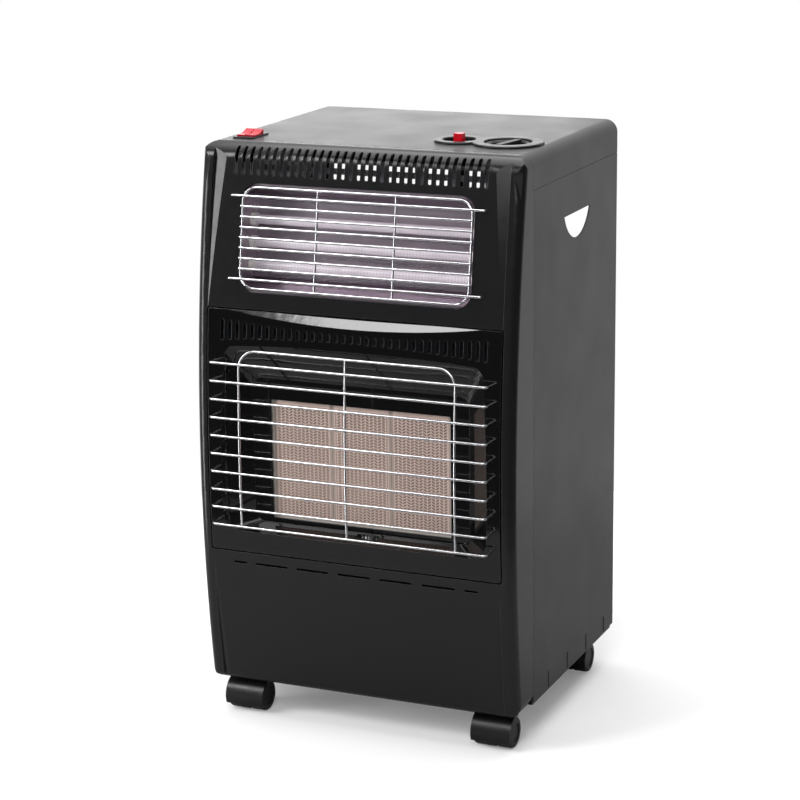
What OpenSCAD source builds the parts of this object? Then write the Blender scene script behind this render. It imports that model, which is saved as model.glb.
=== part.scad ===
// Portable gas cabinet heater with an electric upper section.
// Origin: middle of the overall box on the floor, +Z up, the front faces -Y.
// All lengths are in millimetres.

/* [Cabinet] */
// Width over the side panels and the fascia
body_w = 420; // [405:1:440]
// Height of the flat top above the floor
body_h = 734; // [725:1:750]
// Depth of a side panel from the front seam to the back edge
side_d = 306; // [296:1:325]
// Thickness of the painted sheet of cover and side panels
sheet_t = 1.5; // [1.2:0.1:1.6]
// Radius of the rounded long edges of the top
edge_r = 16; // [12:1:18]
// Height of the skirt of the top cover
cover_skirt = 41.5; // [36:0.5:44]
// Height of the lower edge of the side panels above the floor
side_z = 55; // [54:0.5:57]
// How far the top cover reaches in front of the side seam
cover_lead = 4; // [3:0.5:5]

/* [Fascia] */
// Projection of the bulge in front of the side seam
front_bulge = 70; // [66:1:74]
// Radius of the bulged front seen from the side
arc_r = 2000; // [1950:10:2200]
// Distance of the foremost line of the bulge below the top
arc_drop = 404; // [399:1:409]
// Wall of the moulded fascia
fascia_t = 2.5; // [2.2:0.1:2.8]
// Rounding between the front and the sides
side_round = 12; // [10:1:13]
// Rounding between the front and the top
top_round = 25; // [22:1:26]
// Rounding of the lower edge
foot_round = 12; // [10:1:13]
// Lower edge of the fascia above the floor
fascia_z = 48; // [47:0.5:49]
// Corner radius of the lower corners seen from the front
foot_corner = 18; // [14:1:20]
// Slope of the leaf facets beside the front
leaf_slope = 14; // [10:1:16]
// Number of vent slots along the top of the fascia
top_slots = 33; // [25:2:33]
// Distance of the outermost top vent slots from the sides
top_slot_edge = 47.28; // [45:0.01:50]
// Width of a top vent slot
top_slot_w = 4.8; // [4:0.1:5.2]
// Number of dashes below the burner panel
dashes = 7; // [5:2:7]

/* [Burner panel] */
// Distance of the burner panel from the sides of the cabinet
panel_margin = 17; // [16.5:0.5:20]
// Distance of the upper edge of the burner panel below the top
panel_drop = 199.5; // [198:0.5:201]
// Height of the burner panel
panel_h = 306.1; // [304.5:0.1:308]
// Gap between the burner panel and the fascia
panel_gap = 2; // [1.5:0.1:2.2]
// Sheet of the burner panel
panel_t = 1.5; // [1.2:0.1:1.6]
// Depth of the return round the burner panel
panel_return = 14; // [12:0.5:15]
// Number of slots in the smile row
smile_slots = 35; // [25:2:35]
// Distance of the outermost smile slots from the sides of the panel
smile_edge = 20.11; // [19:0.01:24]
// Width of a smile slot
smile_w = 4.2; // [3.6:0.1:4.6]
// Depth of the recess floor behind the foremost line
recess_d = 28; // [26:0.5:29]

/* [Guards] */
// Diameter of the guard wires
wire_d = 3; // [2.6:0.1:3.2]
// Distance of the lower guard in front of the burner panel
guard_proud = 20; // [18:0.5:22]
// Number of bowed wires across the burner
guard_wires = 10; // [8:1:10]
// Pitch of the bowed wires
guard_pitch = 22.55; // [21:0.05:23]
// Number of wires across the upper window
window_wires = 9; // [7:1:9]
// Pitch of the upper wires
window_pitch = 12.45; // [12:0.05:12.6]

/* [Upper heater] */
// Distance of the upper window from the sides of the cabinet
window_margin = 58; // [57:1:61]
// Height of the upper window
window_h = 132; // [129:1:133]
// Corner radius of the upper window
window_r = 20; // [16:1:22]
// Number of heating tubes is three, this is their pitch
tube_pitch = 27.7; // [27:0.1:29]
// Diameter of a quartz tube
tube_d = 12; // [11:0.5:13]
// Diameter of a ceramic end cap
cap_d = 16; // [15:0.5:17]

/* [Gas burner] */
// Width of the three ceramic plaques together
plaque_span = 236; // [230:1:238]
// Height of a ceramic plaque
plaque_h = 149; // [145:1:150]
// Thickness of a ceramic plaque
plaque_t = 13; // [12:0.5:14]
// Outer diameter of the gas pipes
pipe_d = 8; // [6:0.5:9]

/* [Controls] */
// Radius of the round end of the control bezel round the knob
dial_r = 43.5; // [42:0.5:44]
// Radius of the knob skirt
knob_r = 27.8; // [26:0.2:28.2]
// Width of the finger bar across the knob
grip_w = 8; // [6:0.5:10]
// Turn of the knob from off to full heat
knob_turn = 210; // [180:5:240]
// Travel of the pressed knob
knob_press = 4; // [3:0.5:4.5]
// Side of the square ignition button
button_w = 11; // [10:0.5:12]
// Travel of the ignition button
button_press = 5; // [4:0.5:5.5]
// Width of one rocker
rocker_w = 11.5; // [11:0.1:11.8]
// Length of one rocker
rocker_l = 26; // [24:0.5:27]
// Tilt of a rocker to each side
rocker_tilt = 9; // [7:0.5:10]

/* [Castors] */
// Wheel diameter
wheel_d = 40; // [38:0.5:40]
// Width of one wheel
wheel_w = 19; // [17:0.5:19.5]
// Axle diameter
axle_d = 5; // [4:0.5:6]
// Diameter of the swivel stem
stem_d = 8; // [7:0.5:9]
// Distance of the axle from the stem axis
trail = 13; // [11:0.5:14]
// Distance of the castor stems from the sides of the cabinet
castor_in = 41; // [40:1:44]

/* [Clearances] */
// Radial clearance of the turning pins
run_fit = 0.05; // [0.02:0.01:0.09]
// Clearance of the parts that slide or rest beside each other
slide_fit = 0.3; // [0.25:0.05:0.35]
// Seam between the cabinet panels
seam = 0.5; // [0.4:0.1:0.6]

/* [Hidden] */
$fn = 48;
eps = 0.02;

// derived positions
overall_d = side_d + front_bulge + guard_proud;
back_y = overall_d / 2;
seam_y = back_y - side_d;
apex_y = seam_y - front_bulge;
arc_cy = apex_y + arc_r;
arc_z = body_h - arc_drop;
half_w = body_w / 2;
inner_w = half_w - sheet_t;
cover_z = body_h - cover_skirt;
cover_y = seam_y - cover_lead;
panel_w = body_w - 2 * panel_margin;
panel_z1 = body_h - panel_drop;
panel_z0 = panel_z1 - panel_h;
panel_mid = (panel_z0 + panel_z1) / 2;
window_w = body_w - 2 * window_margin;
top_slot_pitch = (body_w - 2 * top_slot_edge) / (top_slots - 1);
smile_pitch = (panel_w - 2 * smile_edge) / (smile_slots - 1);
tray_z = fascia_z + fascia_t;
shield_y = seam_y + 13;

// surface of the bulge at a height, and the angle of its normal
function face_y(z) = arc_cy - sqrt(arc_r * arc_r - (z - arc_z) * (z - arc_z));
function face_a(z) = asin((z - arc_z) / arc_r);

// ---------- colours ----------
paint = [0.16, 0.16, 0.165];
gloss = [0.06, 0.06, 0.065];
zinc = [0.78, 0.78, 0.80];
steel = [0.62, 0.60, 0.63];
ceramic = [0.80, 0.74, 0.68];
brass = [0.72, 0.57, 0.30];
plastic = [0.07, 0.07, 0.075];
red = [0.72, 0.03, 0.06];
quartz = [0.86, 0.83, 0.86];

// ---------- shared shapes ----------
// block between two corners
module block(lo, hi) {
  translate(lo) cube(hi - lo);
}

// rounded rectangle made of squares and circles
module round_rect(w, h, r) {
  square([w, h - 2 * r], center = true);
  square([w - 2 * r, h], center = true);
  for (sx = [-1, 1], sy = [-1, 1])
    translate([sx * (w / 2 - r), sy * (h / 2 - r)]) circle(r);
}

// upright slot outline with round ends
module slot_shape(w, l) {
  square([w, l - w], center = true);
  for (s = [-1, 1]) translate([0, s * (l - w) / 2]) circle(w / 2);
}

// outline drawn in X and Z, extruded along Y between two depths
module through_y(y0, y1) {
  translate([0, y1, 0]) rotate([90, 0, 0]) linear_extrude(y1 - y0) children();
}

// outline drawn in Y and Z, extruded along X between two sides
module through_x(x0, x1) {
  translate([x0, 0, 0]) rotate([90, 0, 90]) linear_extrude(x1 - x0) children();
}

// round bar between two points
module rod(a, b, r) {
  d = b - a;
  translate(a) rotate([0, acos(d[2] / norm(d)), atan2(d[1], d[0])])
    cylinder(r = r, h = norm(d));
}

// quarter bend from direction u to direction v at a corner
module elbow(at, u, v, bend, r) {
  c = at - bend * u + bend * v;
  w = cross(-v, u);
  multmatrix([
    [-v[0], u[0], w[0], c[0]],
    [-v[1], u[1], w[1], c[1]],
    [-v[2], u[2], w[2], c[2]]
  ]) rotate_extrude(angle = 90) translate([bend, 0]) circle(r);
}

// bent bar through square corners
module bent_bar(p, r, bend) {
  n = len(p);
  for (i = [0:n - 2]) {
    d = (p[i + 1] - p[i]) / norm(p[i + 1] - p[i]);
    rod(p[i] + (i == 0 ? 0 : bend) * d, p[i + 1] - (i == n - 2 ? 0 : bend) * d, r);
  }
  for (i = [1:n - 2])
    elbow(p[i], (p[i] - p[i - 1]) / norm(p[i] - p[i - 1]),
      (p[i + 1] - p[i]) / norm(p[i + 1] - p[i]), bend, r);
}

// plan section (radius, across) swept along the bulge between two heights
module sweep_arc(z0, z1) {
  a0 = face_a(z0);
  a1 = face_a(z1);
  translate([0, arc_cy, arc_z]) rotate([0, 90, 0])
    rotate_extrude(start = 270 - a1, angle = a1 - a0, $fn = 256) children();
}

// frame on the bulge: y = 0 on the surface, -y outwards, z up along it
module on_face(z) {
  translate([0, arc_cy, arc_z]) rotate([-face_a(z), 0, 0])
    translate([0, -arc_r, 0]) children();
}

// ---------- fascia ----------
slot_z0 = body_h - 37;
slot_z1 = body_h - 4;
slot_shift = 0.7;
long_wire_x = window_w / 2 + 13;
window_z = body_h - 111.5;
window_step = window_pitch / cos(face_a(window_z));
dash_z = panel_z0 - 15.4;
dash_h = 3;
dash_w = 44;
dash_end_w = 18;
dash_gap = 12;
leaf_x = half_w - 16.5;
leaf_l = 204;
leaf_z = body_h - leaf_l;
leaf_tilt = -5.4;
sliver_x = half_w - 18.5;
sliver_z = panel_z0 - 13.4;
sliver_tilt = 3.3;
flange_d = 7;
form_d = 200;
tabs = 13;
tab_pitch = (body_w - 112.8) / (tabs - 1);
tab_shift = 9.5;
tab_w = 10.3;
tab_slot = 1.6;
tab_y = cover_y + 5;
rail_x = half_w - 11;
rail_end = 16;
lip_half_w = half_w - 20;

// side view limits of the fascia, shrunk by i
module fascia_profile(i, y_back) {
  top_a = asin((body_h - top_round - arc_z) / (arc_r - top_round));
  foot_a = asin((fascia_z + foot_round - arc_z) / (arc_r - foot_round));
  top_y = arc_cy - (arc_r - top_round) * cos(top_a);
  foot_y = arc_cy - (arc_r - foot_round) * cos(foot_a);
  z0 = arc_z + (arc_r - i) * sin(foot_a);
  z1 = arc_z + (arc_r - i) * sin(top_a);
  translate([apex_y - 50, z0]) square([y_back - apex_y + 50, z1 - z0]);
  translate([top_y, arc_z]) square([y_back - top_y, body_h - i - arc_z]);
  translate([top_y, body_h - top_round]) circle(top_round - i);
  translate([foot_y, fascia_z + i]) square([y_back - foot_y, arc_z - fascia_z - i]);
  translate([foot_y, fascia_z + foot_round]) circle(foot_round - i);
}

// front view outline of the fascia, shrunk by i
module fascia_outline(i) {
  translate([-half_w + i, fascia_z + foot_corner])
    square([body_w - 2 * i, body_h - edge_r - fascia_z - foot_corner]);
  translate([-half_w + edge_r, arc_z])
    square([body_w - 2 * edge_r, body_h - i - arc_z]);
  translate([-half_w + foot_corner, fascia_z + i])
    square([body_w - 2 * foot_corner, arc_z - fascia_z - i]);
  for (s = [-1, 1]) {
    translate([s * (half_w - edge_r), body_h - edge_r]) circle(edge_r - i);
    translate([s * (half_w - foot_corner), fascia_z + foot_corner]) circle(foot_corner - i);
  }
}

// bulged block of the fascia, shrunk by i
module fascia_form(i, y_back) {
  intersection() {
    sweep_arc(fascia_z - 20, body_h + 20) {
      translate([arc_r - form_d, -half_w + i])
        square([form_d - side_round, body_w - 2 * i]);
      translate([arc_r - form_d, -half_w + side_round])
        square([form_d - i, body_w - 2 * side_round]);
      for (s = [-1, 1])
        translate([arc_r - side_round, s * (half_w - side_round)]) circle(side_round - i, $fn = 48);
    }
    through_x(-half_w - 5, half_w + 5) fascia_profile(i, y_back);
    through_y(apex_y - 40, y_back) fascia_outline(i);
  }
}

// sloping facet beside the front, its inner edge leaning by a tilt from a pivot
module facet_cut(x, z, tilt, z0, z1, i) {
  intersection() {
    block([x - 45, apex_y - 60, z0], [x + i, seam_y, z1]);
    translate([x, 0, z]) rotate([0, tilt, 0]) translate([-x, 0, -z])
      sweep_arc(z0 - 60, z1 + 60) polygon([
        [arc_r - i + 20 * tan(leaf_slope), x - 20],
        [arc_r - i - 50 * tan(leaf_slope), x + 50],
        [arc_r + 60, x + 50],
        [arc_r + 60, x - 20]
      ]);
  }
}

// the four facets
module facets(i) {
  for (s = [0, 1]) mirror([s, 0, 0]) {
    facet_cut(leaf_x, leaf_z, leaf_tilt, leaf_z - 10, body_h + 10, i);
    facet_cut(sliver_x, sliver_z, sliver_tilt, fascia_z - 10, sliver_z + 10, i);
  }
}

// hook tabs of the fascia, grown by a clearance for the slots of the cover
module tab_row(w, t, z0, z1) {
  for (i = [0:tabs - 1]) {
    x = (i - 5) * tab_pitch + tab_shift;
    block([x - w / 2, tab_y - t / 2, z0], [x + w / 2, tab_y + t / 2, z1]);
  }
}

// holes of the long wires of the upper guard
module window_wire_holes(r) {
  for (sx = [-1, 1], sz = [-1, 1])
    on_face(window_z)
      translate([sx * long_wire_x, 0, sz * (window_wires - 1) / 2 * window_step])
        rotate([90, 0, 0]) cylinder(r = r, h = 30, center = true);
}

// plan section of the rails that carry the burner panel, kept inside the rounded side
module rail_section() {
  r = side_round - fascia_t + 0.5;
  x = half_w - side_round;
  intersection() {
    translate([arc_r - panel_return + panel_t, rail_x]) square([panel_return, half_w - rail_x]);
    union() {
      translate([arc_r - side_round, x]) circle(r, $fn = 48);
      translate([arc_r - panel_return, x]) square([panel_return - side_round, r]);
    }
  }
}

module fascia() {
  color(gloss) difference() {
    union() {
      difference() {
        fascia_form(0, seam_y);
        difference() {
          fascia_form(fascia_t, seam_y + 5);
          facets(fascia_t);
        }
        facets(0);
        // seams towards the side panels and the top cover
        block([-half_w - 5, seam_y - seam, 0], [half_w + 5, seam_y + 10, cover_z]);
        block([-half_w - 5, cover_y - seam, cover_z - seam],
          [half_w + 5, seam_y + 10, body_h + 5]);
        // the lower edge keeps only a lip, so the castors bolt to the tray
        block([-half_w + foot_corner, lip_back_y, fascia_z - 1],
          [half_w - foot_corner, seam_y, tray_z + eps]);
      }
      on_face(window_z) through_y(fascia_t - 1, flange_d) difference() {
        round_rect(window_w + 4, window_h + 4, window_r + 2);
        round_rect(window_w, window_h, window_r);
      }
      for (s = [0, 1]) mirror([s, 0, 0])
        sweep_arc(panel_z0 + rail_end, panel_z1 - rail_end) rail_section();
      block([-lip_half_w, cover_y - 4, body_h - sheet_t - fascia_t],
        [lip_half_w, cover_y + 12, body_h - sheet_t]);
      tab_row(tab_w - 1, tab_slot - 0.6, body_h - sheet_t - 1, body_h - 0.3);
    }
    // upper window
    on_face(window_z) through_y(-20, 20) round_rect(window_w, window_h, window_r);
    // opening of the burner panel
    translate([0, 0, panel_mid]) through_y(apex_y - 30, seam_y - 20)
      round_rect(panel_w + 2 * panel_gap, panel_z1 - panel_z0 + 2 * panel_gap, 4);
    // top vent slots
    for (i = [0:top_slots - 1])
      translate([(i - (top_slots - 1) / 2) * top_slot_pitch + slot_shift, 0, (slot_z0 + slot_z1) / 2])
        through_y(apex_y - 20, cover_y - 5) slot_shape(top_slot_w, slot_z1 - slot_z0);
    // dashes below the burner panel
    for (i = [0:dashes - 1]) {
      k = i - (dashes - 1) / 2;
      last = abs(k) == (dashes - 1) / 2;
      w = last ? dash_end_w : dash_w;
      x = sign(k) * (abs(k) * (dash_w + dash_gap) - (last ? (dash_w - dash_end_w) / 2 : 0));
      translate([x, 0, dash_z]) rotate([0, 90, 0]) through_y(apex_y - 20, seam_y - 20)
        slot_shape(dash_h, w);
    }
    window_wire_holes(wire_d / 2 + 0.1);
  }
}

// ---------- burner panel and its recess ----------
lip_r = 1350;
lip_z = panel_z1 - 12.8;
lip_k = 1.85;
floor_y = apex_y + recess_d;
floor_w = panel_w - 98;
floor_z0 = panel_z0 + 33.6;
floor_z1 = panel_z1 - 87.5;
mouth_y = apex_y - 7;
mouth_w = panel_w - 18;
mouth_z0 = panel_z0 + 24.6;
mouth_z1 = panel_z1 - 10.5;
mouth_arc = 1900;
smile_top = panel_z1 - 20.5;
smile_bottom = panel_z1 - 29.9;
smile_rise = 8;
smile_drop = 8;
ear_w = 12;
plaque_z0 = panel_z0 + 41.6;
plaque_y = apex_y + 33;
plaque_edge = 2.5;
floor_lip = 1;
pilot_x = 15;
pilot_y = apex_y + 20;
tail_in = 3;
guard_x = panel_w / 2 - 11.5;
guard_z = panel_z1 - 64;
guard_bend = 5;
wire_weld = 0.6;
frame_x = guard_x - 39.5;
frame_z = panel_z1 - 46.5;
frame_r = 22;
guard_bars = [-50, 52];

// cone above the crescent lip, grown by g
module lip_cone(g) {
  r = lip_r + g + 20 * lip_k;
  translate([0, face_y(lip_z) - 20, lip_z + lip_r]) rotate([-90, 0, 0])
    cylinder(r1 = r, r2 = 0, h = r / lip_k, $fn = 256);
}

// mouth of the recess as seen from the front, grown by g
module mouth_outline(g) {
  intersection() {
    translate([0, (mouth_z0 + mouth_z1) / 2])
      round_rect(mouth_w + 2 * g, mouth_z1 - mouth_z0 + 2 * g, 24 + g);
    translate([0, mouth_z1 - mouth_arc]) circle(mouth_arc + g, $fn = 256);
  }
}

// funnel from the mouth down to the recess floor, grown by g
module funnel(g) {
  hull() {
    through_y(mouth_y, mouth_y + 0.1) mouth_outline(g);
    translate([0, 0, (floor_z0 + floor_z1) / 2]) through_y(floor_y + g - 0.1, floor_y + g)
      round_rect(floor_w + 2 * g, floor_z1 - floor_z0 + 2 * g, 14 + g, $fn = 32);
  }
}

// plan section of the burner panel skin between two radii
module panel_section(r0, r1, w) {
  translate([r0, -w / 2]) square([r1 - r0, w]);
}

module burner_panel() {
  half = panel_w / 2;
  color(gloss) difference() {
    union() {
      difference() {
        intersection() {
          sweep_arc(panel_z0, panel_z1) panel_section(arc_r - panel_return, arc_r, panel_w);
          translate([0, 0, panel_mid]) through_y(apex_y - 10, seam_y)
            round_rect(panel_w, panel_z1 - panel_z0 + 1, 4);
        }
        difference() {
          sweep_arc(panel_z0 + panel_t, panel_z1 - panel_t)
            panel_section(arc_r - panel_return - 5, arc_r - panel_t, panel_w - 2 * panel_t);
          lip_cone(panel_t * sqrt(1 + lip_k * lip_k));
        }
      }
      intersection() {
        funnel(panel_t);
        sweep_arc(panel_z0 + 8, panel_z1 - 8) panel_section(arc_r - 60, arc_r - 0.5, panel_w - 8);
      }
      // ears seated on the rails of the fascia
      for (s = [0, 1]) mirror([s, 0, 0]) sweep_arc(panel_z0 + rail_end + 2, panel_z1 - rail_end - 2)
        translate([arc_r - panel_return, half - panel_t]) square([panel_t, ear_w + panel_t]);
    }
    lip_cone(0);
    funnel(0);
    // window of the plaques in the recess floor
    translate([0, 0, plaque_z0 + plaque_h / 2]) through_y(floor_y - 2, floor_y + 5)
      round_rect(plaque_span + 2 * plaque_edge - 2 * floor_lip,
        plaque_h + 2 * plaque_edge - 2 * floor_lip, 2);
    // smile row
    for (i = [0:smile_slots - 1]) {
      k = i - (smile_slots - 1) / 2;
      f = pow(2 * k / (smile_slots - 1), 2);
      z0 = smile_bottom - smile_drop * f;
      z1 = smile_top + smile_rise * f;
      translate([k * smile_pitch, 0, (z0 + z1) / 2]) through_y(apex_y - 10, apex_y + 30)
        slot_shape(smile_w, z1 - z0);
    }
    // holes of the guard tails
    for (i = [0:guard_wires - 1], s = [-1, 1])
      on_face(guard_z - i * guard_pitch) translate([s * guard_x, 0, 0]) rotate([90, 0, 0])
        cylinder(r = wire_d / 2 + 0.1, h = 10, center = true);
    // opening for the pilot flame
    block([pilot_x - 18, pilot_y - 5, floor_z0 - 14], [pilot_x + 12, pilot_y + 5, floor_z0 + 8]);
  }
}

// ---------- guards ----------
module lower_guard() {
  out = guard_proud - wire_d / 2;
  back = out - wire_d + wire_weld;
  r = wire_d / 2;
  z_last = guard_z - (guard_wires - 1) * guard_pitch;
  z_bend = frame_z - frame_r - 4;
  color(zinc) {
    for (i = [0:guard_wires - 1])
      on_face(guard_z - i * guard_pitch)
        bent_bar([[-guard_x, tail_in, 0], [-guard_x, -out, 0], [guard_x, -out, 0],
          [guard_x, tail_in, 0]], r, guard_bend);
    for (x = [-frame_x, frame_x])
      sweep_arc(z_last - 1.5, z_bend) translate([arc_r + back, x]) circle(r, $fn = 48);
    sweep_arc(z_last - 1.5, frame_z - r + wire_weld)
      translate([arc_r + back, 0]) circle(r, $fn = 48);
    on_face(z_bend)
      bent_bar([[-frame_x, -back, 0], [-frame_x, -back, frame_z - z_bend],
        [frame_x, -back, frame_z - z_bend], [frame_x, -back, 0]], r, frame_r);
  }
}

module upper_guard() {
  r = wire_d / 2;
  w = window_w - 5;
  h = window_h - 9.4;
  front = -wire_d + wire_weld;
  color(zinc) on_face(window_z) {
    // frame
    bent_bar([[0, 0, h / 2], [w / 2, 0, h / 2], [w / 2, 0, -h / 2], [-w / 2, 0, -h / 2],
      [-w / 2, 0, h / 2], [0, 0, h / 2]], r, window_r - 2);
    for (x = guard_bars)
      rod([x, 0, r - wire_weld - h / 2], [x, 0, h / 2 - r + wire_weld], r);
    for (i = [0:window_wires - 1]) {
      k = i - (window_wires - 1) / 2;
      if (abs(k) == (window_wires - 1) / 2)
        bent_bar([[-long_wire_x, tail_in, k * window_step], [-long_wire_x, front, k * window_step],
          [long_wire_x, front, k * window_step], [long_wire_x, tail_in, k * window_step]], r, 2.8);
      else
        rod([-w / 2 - r, front, k * window_step], [w / 2 + r, front, k * window_step], r);
    }
  }
}

// ---------- electric section ----------
refl_t = 1;
refl_mouth = window_h / 2 - 1;
refl_back = 50;
refl_gap = 6.7;
refl_depth = (shield_y - refl_gap - face_y(window_z) - refl_back * sin(face_a(window_z)))
  / cos(face_a(window_z));
refl_lip = 9;
refl_half = window_w / 2 + 0.5;
end_t = 1.2;
tube_y = refl_depth - 14;
tube_s = -6.5;
cap_in = refl_half - 7;
cap_out = refl_half + 9;
cap_wall_fit = 0.1;

// the three tube axes, upper to lower
function tube_at(i) = tube_s + (1 - i) * tube_pitch / cos(face_a(window_z));

// round bar along X
module bar_x(x0, x1, r) {
  translate([x0, 0, 0]) rotate([0, 90, 0]) cylinder(r = r, h = x1 - x0);
}

// side outline of the trough, shrunk by g
module trough_outline(g) {
  polygon([
    [flange_d - (g > 0 ? 1 : 0), -refl_mouth + g],
    [refl_depth - g, -refl_back + g],
    [refl_depth - g, refl_back - g],
    [flange_d - (g > 0 ? 1 : 0), refl_mouth - g]
  ]);
}

module upper_reflector() {
  color(steel) on_face(window_z) {
    through_x(-refl_half, refl_half) difference() {
      trough_outline(0);
      trough_outline(refl_t);
    }
    for (s = [0, 1]) mirror([0, 0, s])
      block([-refl_half, flange_d, refl_mouth - refl_t],
        [refl_half, flange_d + refl_t, refl_mouth + refl_lip]);
  }
}

module tube_brackets() {
  color(steel) on_face(window_z) for (s = [0, 1]) mirror([s, 0, 0]) difference() {
    union() {
      through_x(refl_half, refl_half + end_t) trough_outline(0);
      block([refl_half, flange_d + refl_t, -refl_mouth],
        [refl_half + 10, flange_d + refl_t + end_t, refl_mouth]);
    }
    for (i = [0:2]) translate([0, tube_y, tube_at(i)])
      bar_x(refl_half - 1, refl_half + 11, cap_d / 2 + cap_wall_fit);
  }
}

module quartz_tube(i) {
  color(quartz) on_face(window_z) translate([0, tube_y, tube_at(i)]) difference() {
    bar_x(-cap_out + 3, cap_out - 3, tube_d / 2);
    bar_x(-cap_out, cap_out, tube_d / 2 - 1.2);
  }
}

module tube_end_caps() {
  color([0.9, 0.9, 0.88]) on_face(window_z) for (i = [0:2], s = [0, 1])
    mirror([s, 0, 0]) translate([0, tube_y, tube_at(i)]) difference() {
      bar_x(cap_in, cap_out, cap_d / 2);
      bar_x(cap_in - 1, cap_out - 3 + cap_wall_fit, tube_d / 2 + cap_wall_fit);
      bar_x(cap_in, cap_out + 1, 1.5);
    }
}

// ---------- sheet metal cabinet ----------
tray_t = 1.5;
tray_rim = 14;
rim_t = 1.2;
flange_y = back_y - 5;
flange_w = 22;
hole_chord_z = cover_z - 50.5;
hole_w = 94;
hole_h = 32;
hole_y = (seam_y + back_y) / 2;
rib_pitch = 71.3;
rib_h = 21.5;
rib_r = 1.9;
rib_shift = 8.3;
shield_t = 1;
shield_z = body_h - 20;
shield_pitch = 45;
shield_slot_w = 34;
shield_shift = -8.5;
shield_rows = [86, shield_z - 25, shield_z - 11.5];
hook_h = 8;
hook_tail = 12;
hook_x = half_w - 14;
hook_w = 6;
lift = 14;
cover_back_z0 = 60;
cover_back_z1 = body_h - 174;
hook_z = [150, cover_back_z1 - 90];
back_vent_z = [110, cover_back_z1 - 130];
back_vent_pitch = 14;
grip_z = cover_back_z1 - 48;
cover_back_t = 1.2;
rail_z0 = cover_z - 29.5;
rail_z1 = body_h - 6;
rail_half = half_w - 30;
screw_z = cover_z + 19.5;
screw_out = half_w - 45;
screw_x = [-screw_out, -60, 60, screw_out];
screw_l = 6;
lip_back_y = apex_y + 40;

module top_outline(g, z0) {
  translate([-half_w + g, z0]) square([body_w - 2 * g, body_h - edge_r - z0]);
  translate([-half_w + edge_r, z0]) square([body_w - 2 * edge_r, body_h - g - z0]);
  for (s = [-1, 1]) translate([s * (half_w - edge_r), body_h - edge_r]) circle(edge_r - g);
}

module top_cover() {
  color(paint) difference() {
    through_y(cover_y, back_y) top_outline(0, cover_z);
    through_y(cover_y - 1, back_y - sheet_t) top_outline(sheet_t, cover_z - 1);
    // slots of the fascia tabs
    tab_row(tab_w, tab_slot, body_h - 5, body_h + 1);
    // holes under the control bezel
    translate([dial_x, control_y, body_h - 5]) cylinder(r = well_r + 2, h = 10);
    translate([push_x, control_y, body_h - 5]) cylinder(r = small_well_r + 2, h = 10);
    // hole of the rocker switches
    block([switch_x - switch_hole_w / 2, switch_y - switch_hole_l / 2, body_h - 5],
      [switch_x + switch_hole_w / 2, switch_y + switch_hole_l / 2, body_h + 5]);
    for (x = screw_x) translate([x, back_y + eps, screw_z]) rotate([90, 0, 0])
      cylinder(r1 = 3.6, r2 = 2, h = sheet_t + 0.1);
  }
}

module cover_screws() {
  color(zinc) for (x = screw_x) translate([x, back_y - 0.1, screw_z]) rotate([90, 0, 0])
    difference() {
      union() {
        cylinder(r1 = 3.5, r2 = 1.8, h = 1.5);
        cylinder(r = 1.8, h = screw_l);
      }
      // crossed recess
      for (a = [0, 90]) rotate(a) cube([3.4, 0.8, 1.8], center = true);
    }
}

module side_panel() {
  rear_x = half_w - flange_w;
  difference() {
    union() {
      block([inner_w, seam_y, side_z], [half_w, back_y, cover_z - seam]);
      // tongue inside the fascia
      block([half_w - fascia_t - 1.5, seam_y - 17, side_z + 19],
        [half_w - fascia_t, seam_y + 2, cover_z - 12.5]);
      block([half_w - fascia_t - 1.5, seam_y, side_z + 19],
        [inner_w + 0.1, seam_y + 2, cover_z - 12.5]);
      // tongue inside the top cover
      block([inner_w - 1.5, seam_y + 6, cover_z - 12], [inner_w, flange_y - 3, cover_z + 18]);
      // rear flange
      block([rear_x, flange_y - sheet_t, tray_z + tray_rim + 3], [inner_w, flange_y, cover_z - seam]);
      // pressed ribs above the lower edge
      intersection() {
        for (i = [0:3]) translate([half_w - 1, hole_y + rib_shift + (i - 1.5) * rib_pitch, side_z])
          cylinder(r = rib_r, h = rib_h);
        block([half_w - 1, seam_y, side_z - 1], [half_w + rib_r, back_y, cover_z]);
      }
    }
    // hand hole with a flat upper edge
    r = (hole_w * hole_w / 4 + hole_h * hole_h) / (2 * hole_h);
    intersection() {
      translate([half_w - 5, hole_y, hole_chord_z - hole_h + r]) bar_x(0, 10, r);
      block([half_w - 10, hole_y - hole_w, hole_chord_z - hole_h - 5],
        [half_w + 10, hole_y + hole_w, hole_chord_z]);
    }
    // slots of the hooks of the rear cover
    for (z = hook_z)
      block([hook_x - hook_w / 2 - 1, flange_y - 5, z], [hook_x + hook_w / 2 + 1, flange_y + 1,
        z + hook_h + lift + 3]);
  }
}

module side_panel_right() {
  color(paint) side_panel();
}

module side_panel_left() {
  color(paint) mirror([1, 0, 0]) side_panel();
}

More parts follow.
